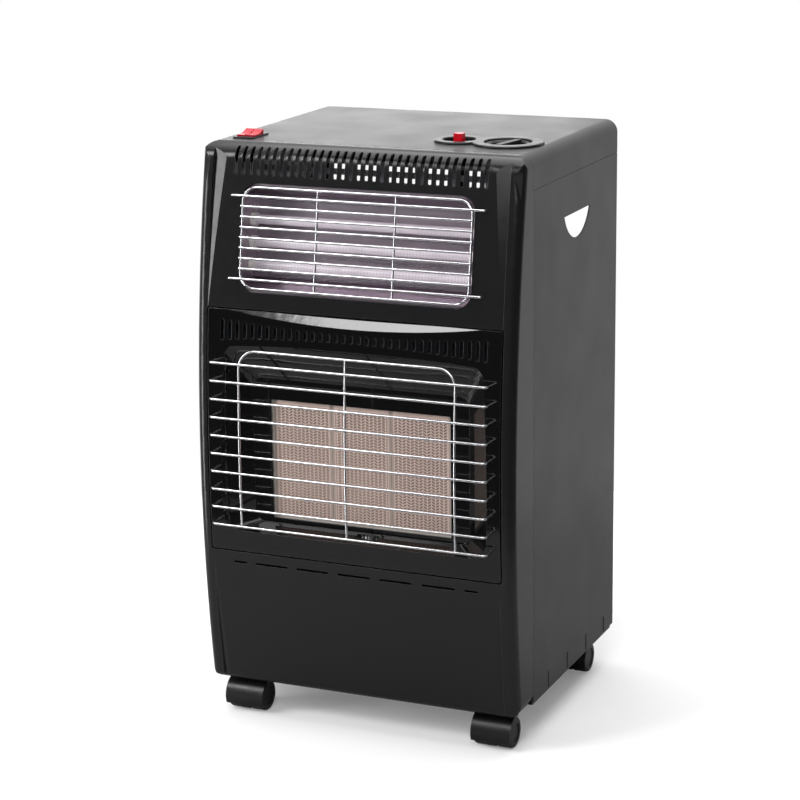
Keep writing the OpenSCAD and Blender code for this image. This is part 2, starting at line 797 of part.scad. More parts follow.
module base_tray() {
  color(paint) difference() {
    union() {
      block([-inner_w, seam_y, tray_z], [inner_w, flange_y - sheet_t, tray_z + tray_t]);
      block([22.5 - inner_w, lip_back_y - 8, tray_z], [inner_w - 22.5, seam_y + 1, tray_z + tray_t]);
      for (s = [0, 1]) mirror([s, 0, 0])
        block([inner_w - rim_t, seam_y, tray_z], [inner_w, flange_y - sheet_t, tray_z + tray_rim]);
      block([-inner_w, flange_y - sheet_t - rim_t, tray_z],
        [inner_w, flange_y - sheet_t, tray_z + tray_rim]);
      // pressed ring that centres the bottle
      translate([0, bottle_y, tray_z]) difference() {
        cylinder(r = bottle_r + 6, h = tray_t + 3, $fn = 96);
        translate([0, 0, tray_t]) cylinder(r = bottle_r, h = 10, $fn = 96);
      }
    }
    // floor vents of the bottle bay
    for (a = [0:45:315]) translate([0, bottle_y, tray_z - 1]) rotate(a) translate([70, 0, 0])
      linear_extrude(10) rotate(90) slot_shape(10, 60);
    translate([0, bottle_y, tray_z - 1]) cylinder(r = 24, h = 10);
  }
}

module rear_rail() {
  y1 = flange_y - sheet_t;
  skirt = back_y - sheet_t;
  color(paint) difference() {
    union() {
      block([-inner_w + 1.6, y1 - rim_t, rail_z0], [inner_w - 1.6, y1, body_h - edge_r]);
      block([-rail_half, y1 - rim_t, body_h - edge_r - 2], [rail_half, y1, rail_z1]);
      block([-inner_w + 1.6, y1 - 12, rail_z0], [inner_w - 1.6, y1, rail_z0 + rim_t]);
      block([-rail_half, y1 - rim_t, rail_z1 - rim_t], [rail_half, skirt, rail_z1]);
      block([-rail_half, skirt - rim_t, rail_z1 - 28], [rail_half, skirt, rail_z1]);
    }
    for (x = screw_x) translate([x, skirt + 1, screw_z]) rotate([90, 0, 0])
      cylinder(r = 1.9, h = 5);
    translate([gland_x, y1 + 1, gland_z]) rotate([90, 0, 0]) cylinder(r = gland_r, h = 5);
  }
}

module divider_shield() {
  x = inner_w - rim_t;
  color(zinc) difference() {
    union() {
      block([-x, shield_y, tray_z + tray_t], [x, shield_y + shield_t, shield_z]);
      for (s = [0, 1]) mirror([s, 0, 0])
        block([x, shield_y, tray_z + tray_rim + 2], [inner_w, shield_y + 12, shield_z - 40]);
    }
    for (i = [-3:3]) {
      x0 = shield_shift + i * shield_pitch;
      for (z = shield_rows)
        block([x0 - shield_slot_w / 2, shield_y - 1, z], [x0 + shield_slot_w / 2, shield_y + 5, z + 6]);
    }
    block([switch_x - 18, shield_y - 1, body_h - 46], [switch_x + 18, shield_y + 5, body_h]);
    translate([pilot_pipe_x, shield_y + 5, pilot_pipe_z]) rotate([90, 0, 0]) cylinder(r = 4, h = 10);
    translate([feed_x, shield_y + 5, manifold_z]) rotate([90, 0, 0]) cylinder(r = pipe_d / 2 + 2, h = 10);
  }
}

module rear_cover() {
  y0 = flange_y + slide_fit;
  y1 = y0 + cover_back_t;
  w = half_w - 5;
  color(paint) difference() {
    union() {
      block([-w, y0, cover_back_z0], [w, y1, cover_back_z1]);
      translate([0, 0, (cover_back_z0 + cover_back_z1) / 2]) through_y(y0, y1 + 2)
        round_rect(2 * w - 50, cover_back_z1 - cover_back_z0 - 50, 16);
      for (s = [-1, 1], z = hook_z) {
        block([s * hook_x - hook_w / 2, flange_y - sheet_t - slide_fit - 1.5, z],
          [s * hook_x + hook_w / 2, y0 + 0.1, z + hook_h]);
        block([s * hook_x - hook_w / 2, flange_y - sheet_t - slide_fit - 1.5, z - hook_tail],
          [s * hook_x + hook_w / 2, flange_y - sheet_t - slide_fit, z + hook_h]);
      }
    }
    translate([0, 0, (cover_back_z0 + cover_back_z1) / 2]) through_y(y0 - 1, y1 + 2 - cover_back_t)
      round_rect(2 * w - 50 - 2 * cover_back_t, cover_back_z1 - cover_back_z0 - 50 - 2 * cover_back_t, 15);
    // vents, three columns at the foot and at the head
    for (x = [-110, 0, 110], z = back_vent_z, i = [0:3])
      translate([x, 0, z + i * back_vent_pitch]) rotate([0, 90, 0])
        through_y(y0, y1 + 5) slot_shape(6, 84);
    // grip
    translate([0, 0, grip_z]) rotate([0, 90, 0]) through_y(y0, y1 + 5) slot_shape(22, 96);
  }
}

// ---------- gas burner ----------
bottle_y = (shield_y + flange_y) / 2;
bottle_r = 125;
case_t = 1.2;
case_y1 = seam_y + 4;
case_flange = 8;
case_x = plaque_span / 2 + plaque_edge;
case_z0 = plaque_z0 - plaque_edge;
case_z1 = plaque_z0 + plaque_h + plaque_edge;
plaque_gap = 0.6;
plaque_w = (plaque_span - 2 * plaque_gap) / 3;
ledge_y = plaque_y + plaque_t;
cup_r = 9;
cup_bore = 7.5;
cup_y = seam_y - 10;
cup_h = 13;
manifold_z = case_z0 - 31.5;
manifold_r = 6;
feed_x = half_w - 38;
manifold_end = 12;
manifold_nut = 34;
feed_y = seam_y + 24;
pilot_pipe_x = half_w - 18;
pilot_pipe_z = case_z0 - 52.5;
pilot_z = case_z0 - 17.5;

module burner_housing() {
  color(steel) difference() {
    union() {
      block([-case_x - case_t, floor_y + panel_t, case_z0 - case_t],
        [case_x + case_t, case_y1, case_z1 + case_t]);
      block([-case_x - case_flange, floor_y + panel_t, case_z0 - case_flange],
        [case_x + case_flange, floor_y + panel_t + case_t, case_z1 + case_flange]);
      for (x = [-1, 0, 1]) translate([x * (plaque_w + plaque_gap), cup_y, case_z0 - cup_h])
        cylinder(r = cup_r, h = cup_h);
    }
    block([-case_x, floor_y, case_z0], [case_x, ledge_y, case_z1]);
    // rooms behind the three plaques, leaving the ledge they rest on
    for (x = [-1, 0, 1])
      block([x * (plaque_w + plaque_gap) - plaque_w / 2 + 4, ledge_y - 1, case_z0 + 6],
        [x * (plaque_w + plaque_gap) + plaque_w / 2 - 4, ledge_y + 3, case_z1 - 6]);
    block([-case_x, ledge_y + case_t, case_z0], [case_x, case_y1 - case_t, case_z1]);
    for (x = [-1, 0, 1]) translate([x * (plaque_w + plaque_gap), cup_y, case_z0 - cup_h - 1])
      cylinder(r = cup_bore, h = cup_h + 10);
  }
}

module plaque(i) {
  color(ceramic) block([i * (plaque_w + plaque_gap) - plaque_w / 2, plaque_y, plaque_z0],
    [i * (plaque_w + plaque_gap) + plaque_w / 2, ledge_y, plaque_z0 + plaque_h]);
}

module plaque_gasket() {
  color([0.88, 0.86, 0.82]) difference() {
    block([-case_x, plaque_y + 1, case_z0], [case_x, ledge_y, case_z1]);
    block([-plaque_span / 2, plaque_y, plaque_z0],
      [plaque_span / 2, ledge_y + 1, plaque_z0 + plaque_h]);
  }
}

module gas_manifold() {
  x1 = plaque_w + plaque_gap;
  color(brass) {
    translate([0, cup_y, manifold_z]) bar_x(-x1 - manifold_end, x1 + manifold_nut, manifold_r);
    translate([0, cup_y, manifold_z]) bar_x(x1 + manifold_nut - 12, x1 + manifold_nut, manifold_r + 2, $fn = 6);
    for (x = [-x1, 0, x1]) translate([x, cup_y, manifold_z]) {
      cylinder(r = 4, h = 31);
      translate([0, 0, case_z0 - cup_h - manifold_z]) cylinder(r = cup_bore - 0.1, h = 4);
    }
  }
}

module feed_pipe() {
  y_in = control_y - valve_w / 2;
  x0 = plaque_w + plaque_gap + manifold_nut;
  color(zinc) bent_bar([[x0, cup_y, manifold_z], [feed_x, cup_y, manifold_z],
    [feed_x, feed_y, manifold_z], [feed_x, feed_y, feed_top], [dial_x, feed_y, feed_top],
    [dial_x, y_in, feed_top]], pipe_d / 2, 9);
}

module pilot_pipe() {
  y_in = control_y - valve_w / 2;
  color(zinc) bent_bar([[pilot_x, pilot_y, pilot_z - 6], [pilot_x, pilot_y, pilot_pipe_z],
    [pilot_x, shield_y - 9, pilot_pipe_z], [pilot_pipe_x, shield_y - 9, pilot_pipe_z],
    [pilot_pipe_x, feed_y, pilot_pipe_z], [pilot_pipe_x, feed_y, feed_top + 18],
    [dial_x, feed_y, feed_top + 18], [dial_x, y_in, feed_top + 18]], 2, 8);
}

module pilot_burner() {
  x0 = pilot_x - 15;
  x1 = pilot_x + 13;
  color(zinc) {
    difference() {
      union() {
        // arm from the burner housing to the pilot
        block([pilot_x - 4, pilot_y + 12, case_z0 - 2 * case_t], [x1, pilot_y + 30, case_z0 - case_t]);
        block([pilot_x - 4, pilot_y + 17, pilot_z], [x1, pilot_y + 17 + case_t, case_z0 - case_t]);
        block([x0, pilot_y - 5, pilot_z], [x1, pilot_y + 17 + case_t, pilot_z + case_t]);
      }
      for (x = [-9.5, 9]) translate([pilot_x + x, pilot_y, pilot_z - 1]) cylinder(r = 2, h = 4);
    }
    translate([pilot_x, pilot_y, pilot_z - 6]) cylinder(r = 4, h = 13);
    // flame hood
    translate([pilot_x, pilot_y, pilot_z + case_t]) linear_extrude(11) difference() {
      rotate(90) slot_shape(9.6, 13.4);
      rotate(90) slot_shape(8.2, 12);
      translate([0, -6]) square([6, 6], center = true);
    }
  }
}

module igniter_probes() {
  color(steel) for (x = [-9.5, 9]) translate([pilot_x + x, pilot_y, pilot_z - 12]) {
    cylinder(r = 2 - 0.05, h = 21);
    cylinder(r = 1, h = 24);
    cylinder(r = 3, h = 11.9);
  }
}

// ---------- controls ----------
dial_x = half_w - 59;
push_x = dial_x - 63;
control_y = seam_y + 70;
push_r = 31;
well_r = 29;
well_z = body_h - 18;
small_well_r = 20;
small_well_z = body_h - 10;
cup_t = 1.5;
bezel_h = 3;
valve_w = 30;
valve_z0 = body_h - 98;
valve_z1 = valve_z0 + 54;
feed_top = valve_z0 + 16;
inlet_z = valve_z0 + 11;
rotor_r = 7;
rotor_z0 = valve_z0 + 28;
spindle_r = 3;
spindle_z0 = valve_z0 + 38;
spindle_flat = 2.2;
neck_r = 10;
hub_r = 7;
skirt_z = body_h - 12;
grip_turn = -11;
switch_x = 38 - half_w;
switch_y = seam_y + 27.5;
switch_w = 28;
switch_l = 46;
switch_hole_w = 28 - 0.4;
switch_hole_l = 33;
pivot_z = body_h - 3;
rocker_room = rocker_l / 2 + 1.7;
gland_in = 60;
gland_x = gland_in - half_w;
gland_up = 19;
gland_z = rail_z0 + gland_up;
gland_r = 8;
wire_r = 4;
nozzle_r = 4.5;
nozzle_l = 28;
nut_h = 8;

module control_bezel() {
  color(plastic) difference() {
    union() {
      for (p = [[dial_x, dial_r, well_r, well_z], [push_x, push_r, small_well_r, small_well_z]])
        translate([p[0], control_y, 0]) {
          translate([0, 0, body_h]) cylinder(r = p[1], h = bezel_h - 1);
          translate([0, 0, body_h + bezel_h - 1]) cylinder(r1 = p[1], r2 = p[1] - 1, h = 1);
          translate([0, 0, p[3] - cup_t]) cylinder(r = p[2] + cup_t, h = body_h + 1 - p[3] + cup_t);
        }
    }
    for (p = [[dial_x, well_r, well_z], [push_x, small_well_r, small_well_z]])
      translate([p[0], control_y, p[2]]) {
        cylinder(r = p[1], h = 40);
        translate([0, 0, body_h + bezel_h - 1 - p[2]]) cylinder(r1 = p[1], r2 = p[1] + 1.2, h = 1.2);
      }
    translate([dial_x, control_y, well_z - 5]) cylinder(r = hub_r + 2, h = 10);
    translate([push_x, control_y, small_well_z]) cube([button_w + 0.8, button_w + 0.8, 10], center = true);
  }
}

module igniter_body() {
  top = small_well_z - cup_t;
  color(plastic) translate([push_x, control_y, 0]) difference() {
    union() {
      translate([0, 0, top - 44]) cylinder(r = 12, h = 44);
      translate([0, 0, top - 56]) cylinder(r = 4, h = 13);
    }
    translate([0, 0, top - 32 + 20]) cube([button_w + 2 * slide_fit, button_w + 2 * slide_fit, 40],
      center = true);
  }
}

module ignition_button() {
  h = 48;
  color(red) translate([push_x, control_y, body_h + bezel_h + 7 - h / 2])
    cube([button_w, button_w, h], center = true);
}

module valve_bracket() {
  y = 36;
  color(zinc) translate([dial_x, control_y, 0]) difference() {
    union() {
      block([-valve_w / 2, -y, valve_z1], [valve_w / 2, y, valve_z1 + 1.5]);
      for (s = [0, 1]) mirror([0, s, 0]) {
        block([-valve_w / 2, y - 1.5, valve_z1], [valve_w / 2, y, body_h - sheet_t]);
        block([-valve_w / 2, y - 1.5, body_h - sheet_t - 1.5], [valve_w / 2, y + 9, body_h - sheet_t]);
      }
    }
    translate([0, 0, valve_z1 - 1]) cylinder(r = neck_r + 0.1, h = 5);
  }
}

module gas_valve() {
  h = valve_w / 2;
  color(brass) translate([dial_x, control_y, 0]) difference() {
    union() {
      block([-h, -h, valve_z0], [h, h, valve_z1]);
      translate([0, 0, valve_z1]) cylinder(r = neck_r, h = 7);
    }
    translate([0, 0, rotor_z0]) cylinder(r = rotor_r + run_fit, h = 60);
    // ways of the gas
    translate([0, 0, inlet_z]) rotate([-90, 0, 0]) cylinder(r = 3, h = h + 1);
    translate([0, 0, inlet_z]) cylinder(r = 3, h = rotor_z0 - inlet_z + 1);
    translate([0, -h - 1, feed_top]) rotate([-90, 0, 0]) cylinder(r = 2.5, h = h - 4);
    translate([0, -5, feed_top]) cylinder(r = 1.5, h = rotor_z0 - feed_top + 1);
  }
}

// round bar with one flat for the keyed drive
module keyed(r, flat, h) {
  intersection() {
    cylinder(r = r, h = h);
    block([-r - 1, -r - 1, -1], [flat, r + 1, h + 1]);
  }
}

module valve_rotor() {
  color(brass) translate([dial_x, control_y, rotor_z0]) difference() {
    cylinder(r = rotor_r, h = 30);
    translate([0, 0, 4]) keyed(spindle_r + run_fit, spindle_flat + run_fit, 40);
    translate([0, 0, 2]) rotate([90, 0, 0]) cylinder(r = 1.5, h = 20, center = true);
  }
}

module valve_spindle() {
  color(steel) translate([dial_x, control_y, spindle_z0])
    keyed(spindle_r, spindle_flat, skirt_z + 4 - spindle_z0);
}

module gas_knob() {
  top = body_h + bezel_h - 1.5;
  color(plastic) translate([dial_x, control_y, 0]) difference() {
    union() {
      difference() {
        union() {
          translate([0, 0, skirt_z]) cylinder(r = knob_r, h = top - 2 - skirt_z);
          translate([0, 0, top - 2]) cylinder(r1 = knob_r, r2 = knob_r - 1.5, h = 1.5);
        }
        translate([0, 0, skirt_z + 5]) cylinder(r = knob_r - 6.5, h = 20);
        translate([0, 0, top - 2.5]) cylinder(r1 = knob_r - 6.5, r2 = knob_r - 4.5, h = 2.1);
      }
      rotate(grip_turn) intersection() {
        translate([0, 0, (skirt_z + top + 1) / 2])
          cube([grip_w, 2 * knob_r, top + 1 - skirt_z], center = true);
        translate([0, 0, skirt_z]) cylinder(r = knob_r - 4, h = 20);
      }
      translate([0, 0, well_z - 12]) cylinder(r = hub_r, h = skirt_z - well_z + 13);
    }
    translate([0, 0, well_z - 13]) keyed(spindle_r, spindle_flat, skirt_z + 4 - well_z + 13);
  }
}

module inlet_nozzle() {
  color(brass) translate([dial_x, control_y + valve_w / 2, inlet_z]) rotate([-90, 0, 0])
    difference() {
      union() {
        cylinder(r = 9, h = nut_h, $fn = 6);
        cylinder(r = nozzle_r, h = nut_h + nozzle_l);
      }
      translate([0, 0, -1]) cylinder(r = 2.5, h = nut_h + nozzle_l + 2);
    }
}

module switch_bezel() {
  color(plastic) translate([switch_x, switch_y, body_h]) difference() {
    union() {
      linear_extrude(1.2) round_rect(switch_w, switch_l, 2);
      translate([0, 0, 1.2]) linear_extrude(0.8) round_rect(switch_w - 1.4, switch_l - 1.4, 1.5);
    }
    cube([2 * rocker_w + 1.8, 2 * rocker_room, 10], center = true);
  }
}

module switch_body() {
  w = 2 * rocker_w + 1.8;
  color(plastic) translate([switch_x, switch_y, 0]) {
    difference() {
      block([-w / 2 - 1.2, -rocker_room - 1.4, body_h - 30],
        [w / 2 + 1.2, rocker_room + 1.4, body_h]);
      block([-w / 2, -rocker_room, body_h - 20], [w / 2, rocker_room, body_h + 1]);
    }
    for (x = [-6, 6], y = [-9, 0, 9])
      block([x - 0.4, y - 3, body_h - 42], [x + 0.4, y + 3, body_h - 29.5]);
    translate([0, 0, pivot_z]) bar_x(-w / 2 - 0.5, w / 2 + 0.5, 1.5);
  }
}

module rocker(s) {
  l = rocker_l / 2;
  color(red) translate([switch_x, switch_y, pivot_z]) rotate([rocker_tilt, 0, 0]) difference() {
    through_x(s * (rocker_w / 2 + 0.45) - rocker_w / 2, s * (rocker_w / 2 + 0.45) + rocker_w / 2)
      union() {
        polygon([[-l + 1, -2], [l - 1, -2], [l, 9], [0, 6.5], [-l, 9]]);
        translate([0, -2]) circle(4);
      }
    bar_x(-20, 20, 1.5 + run_fit);
  }
}

module cable_gland() {
  y1 = flange_y - sheet_t;
  color(plastic) translate([gland_x, y1 - 12, gland_z]) rotate([-90, 0, 0]) difference() {
    union() {
      cylinder(r = gland_r - 0.1, h = 13);
      translate([0, 0, 12]) cylinder(r1 = gland_r + 3, r2 = gland_r + 2, h = 3.5);
      translate([0, 0, 7]) cylinder(r = gland_r + 2.5, h = 5 - rim_t, $fn = 6);
    }
    translate([0, 0, -1]) cylinder(r = wire_r, h = 20);
  }
}

// ---------- castors ----------
hood_t = 2;
hood_fit = 0.8;
web_w = 12;
wheel_in = web_w / 2 + 0.5;
stem_front_y = seam_y - 7;
stem_rear_y = back_y - 33;
plate_w = 42;
plate_h = 2;
socket_h = 4;
axle_z = wheel_d / 2;
castor_x = half_w - castor_in;
socket_z = tray_z - plate_h - socket_h;

// stem positions: left front, right front, left rear, right rear
function stem(i) = [(i % 2 == 0 ? -1 : 1) * castor_x, i < 2 ? stem_front_y : stem_rear_y, 0];

module castor_plates() {
  color(zinc) for (i = [0:3]) translate(stem(i)) difference() {
    union() {
      translate([0, 0, tray_z - plate_h]) linear_extrude(plate_h) round_rect(plate_w, plate_w, 4);
      translate([0, 0, socket_z]) cylinder(r = 10, h = socket_h + 0.5);
    }
    translate([0, 0, socket_z - 1]) cylinder(r = stem_d / 2 + run_fit, h = 20);
  }
}

module castor_hood(i) {
  r0 = wheel_d / 2 + hood_fit;
  r1 = r0 + hood_t;
  half = wheel_in + wheel_w + 0.6;
  color(plastic) translate(stem(i)) difference() {
    union() {
      translate([0, -trail, axle_z]) rotate([0, 90, 0])
        rotate_extrude(start = 160, angle = 135) translate([r0, -half]) square([hood_t, 2 * half]);
      // middle web carrying the axle and the stem
      intersection() {
        translate([0, -trail, axle_z]) union() {
          bar_x(-web_w / 2, web_w / 2, r0 + hood_t / 2);
          block([-web_w / 2, 0, -2], [web_w / 2, trail + 9, r1 - 1]);
        }
        block([-web_w / 2, -trail - r1, 5], [web_w / 2, 9, socket_z - 0.3]);
      }
      difference() {
        cylinder(r = 9, h = socket_z - 0.3);
        cylinder(r = 20, h = axle_z);
        translate([0, -trail, axle_z]) bar_x(-30, 30, r0 + hood_t / 3);
      }
    }
    translate([0, 0, axle_z + 4]) cylinder(r = stem_d / 2, h = 60);
    translate([0, -trail, axle_z]) bar_x(-web_w, web_w, axle_d / 2);
  }
}

module castor_pins(i) {
  color(zinc) translate(stem(i)) {
    translate([0, 0, axle_z + 4]) cylinder(r = stem_d / 2, h = tray_z - 0.4 - axle_z - 4);
    translate([0, -trail, axle_z]) bar_x(-wheel_in - wheel_w + 2.5, wheel_in + wheel_w - 2.5, axle_d / 2);
  }
}

module castor_wheel(i, s) {
  r = wheel_d / 2;
  color(plastic) translate(stem(i) + [0, -trail, axle_z]) rotate([0, s * 90, 0])
    translate([0, 0, wheel_in]) rotate_extrude() difference() {
      union() {
        translate([0, 0]) square([r, wheel_w - 4]);
        square([r - 4, wheel_w]);
        translate([r - 4, wheel_w - 4]) circle(4);
      }
      translate([-1, wheel_w - 1.2]) square([13, 5]);
      translate([-1, -1]) square([1 + axle_d / 2 + run_fit, wheel_w - 1]);
      translate([-10, -5]) square([10, wheel_w + 10]);
    }
}

// ---------- parts ----------
top_cover();
side_panel_left();
side_panel_right();
base_tray();
rear_rail();
divider_shield();
cover_screws();
fascia();
burner_panel();
lower_guard();
upper_guard();
upper_reflector();
tube_brackets();
quartz_tube(0);  // quartz_tube_upper
quartz_tube(1);  // quartz_tube_middle
quartz_tube(2);  // quartz_tube_lower
tube_end_caps();
burner_housing();
plaque(-1);  // plaque_left
plaque(0);  // plaque_centre
plaque(1);  // plaque_right
plaque_gasket();
gas_manifold();
feed_pipe();
pilot_pipe();
pilot_burner();
igniter_probes();
control_bezel();
igniter_body();
valve_bracket();
gas_valve();
inlet_nozzle();
switch_bezel();
switch_body();
cable_gland();
castor_plates();
valve_rotor();
valve_spindle();
gas_knob();
ignition_button();
rocker(-1);  // rocker_left
rocker(1);  // rocker_right
rear_cover();
castor_hood(0);  // castor_hood_front_left
castor_pins(0);  // castor_pins_front_left
castor_wheel(0, -1);  // castor_wheel_front_left_a
castor_wheel(0, 1);  // castor_wheel_front_left_b
castor_hood(1);  // castor_hood_front_right
castor_pins(1);  // castor_pins_front_right
castor_wheel(1, -1);  // castor_wheel_front_right_a
castor_wheel(1, 1);  // castor_wheel_front_right_b
castor_hood(2);  // castor_hood_rear_left
castor_pins(2);  // castor_pins_rear_left
castor_wheel(2, -1);  // castor_wheel_rear_left_a
castor_wheel(2, 1);  // castor_wheel_rear_left_b
castor_hood(3);  // castor_hood_rear_right
castor_pins(3);  // castor_pins_rear_right
castor_wheel(3, -1);  // castor_wheel_rear_right_a
castor_wheel(3, 1);  // castor_wheel_rear_right_b
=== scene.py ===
"""Looks of a portable gas cabinet heater with an electric upper section.

Metres and +Z up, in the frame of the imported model. The front faces -Y. Every class is one
sub-assembly: it knows the nodes and pieces it is made of, and dresses them in finishes.
"""

import logging
import math
from dataclasses import dataclass
from enum import Enum
from typing import Any, Sequence, Union

import bmesh
import bpy
from mathutils import Matrix, Vector


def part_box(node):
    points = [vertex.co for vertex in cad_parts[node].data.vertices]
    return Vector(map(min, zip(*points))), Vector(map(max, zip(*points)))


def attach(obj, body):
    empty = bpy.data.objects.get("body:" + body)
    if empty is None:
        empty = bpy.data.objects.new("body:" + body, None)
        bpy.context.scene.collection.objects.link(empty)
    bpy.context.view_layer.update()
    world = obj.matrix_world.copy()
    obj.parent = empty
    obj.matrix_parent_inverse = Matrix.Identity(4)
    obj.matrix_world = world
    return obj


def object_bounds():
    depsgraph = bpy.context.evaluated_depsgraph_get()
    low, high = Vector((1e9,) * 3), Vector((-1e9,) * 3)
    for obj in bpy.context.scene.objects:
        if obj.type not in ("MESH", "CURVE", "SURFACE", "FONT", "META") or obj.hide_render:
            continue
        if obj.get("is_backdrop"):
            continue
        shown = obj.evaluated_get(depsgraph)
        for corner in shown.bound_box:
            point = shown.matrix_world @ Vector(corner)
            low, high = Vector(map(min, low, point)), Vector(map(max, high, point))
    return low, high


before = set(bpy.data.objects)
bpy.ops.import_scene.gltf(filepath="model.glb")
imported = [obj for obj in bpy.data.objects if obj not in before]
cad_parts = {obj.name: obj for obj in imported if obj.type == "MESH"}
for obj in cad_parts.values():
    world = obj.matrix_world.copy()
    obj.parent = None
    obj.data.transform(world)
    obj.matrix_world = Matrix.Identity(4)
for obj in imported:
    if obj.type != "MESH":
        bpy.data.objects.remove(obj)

MM = 0.001
CABINET = "cabinet"
LOG = logging.getLogger("heater")

QUARTER = math.pi / 2
# Vertices of a new piece that lie this near are one
MERGE_GAP = 0.001 * MM
BLACK = "#000000"
WHITE = "#ffffff"
# Noise gathers round its middle, so the part between these values is spread over a range
NOISE_LOW, NOISE_HIGH = 0.3, 0.7
# The same for patches of a second tone, which leave more of the first
PATCH_LOW, PATCH_HIGH = 0.35, 0.7
# Finer layers of a noise: few for grain, more where the outlines of patches break up
GRAIN_DETAIL, PATCH_DETAIL = 2.0, 4.0
# Places of a Mix node's colour sockets, whose names it uses for other kinds of data too
SHARE, FIRST, SECOND, MIXED = 0, 6, 7, 2

Socket = bpy.types.NodeSocket
Shader = bpy.types.Node
Tree = bpy.types.NodeTree


def srgb(code: str) -> tuple[float, float, float, float]:
    """Turns a hex colour into linear red, green, blue and full alpha.

    Args:
        code: six hex digits after a hash mark, as a paint chart writes them.

    Returns:
        The four numbers that a colour socket takes.
    """
    parts = [int(code[i:i + 2], 16) / 255 for i in (1, 3, 5)]
    # The curve of the sRGB standard: a straight foot, then a power
    linear = [c / 12.92 if c <= 0.04045 else ((c + 0.055) / 1.055) ** 2.4 for c in parts]
    return (*linear, 1.0)


def add_node(tree: Tree, kind: str, inputs: Any = (), out: Any = None, **settings: Any) -> Any:
    """Adds one node with its settings and links.

    Args:
        tree: the node tree that takes the node.
        kind: Blender's name of the node type, without the ShaderNode before it.
        inputs: values or sockets for the inputs, in the node's order or by name or place.
        out: name or place of the output that is wanted.
        settings: the node's own properties.

    Returns:
        The output, or the node itself where no output is named.
    """
    node = tree.nodes.new("ShaderNode" + kind)
    for key, value in settings.items():
        setattr(node, key, value)
    pairs = inputs.items() if isinstance(inputs, dict) else enumerate(inputs)
    for key, value in pairs:
        if isinstance(value, Socket):
            tree.links.new(value, node.inputs[key])
        else:
            node.inputs[key].default_value = value
    return node if out is None else node.outputs[out]


def sized(place: Socket, size_mm: float, detail: float = GRAIN_DETAIL) -> dict[str, Any]:
    """Inputs of a noise whose features have a real size.

    Args:
        place: coordinates in metres.
        size_mm: size of a feature in millimetres.
        detail: how many finer layers are added.

    Returns:
        The inputs of a Noise Texture by name.
    """
    return {"Vector": place, "Scale": 1 / (size_mm * MM), "Detail": detail}


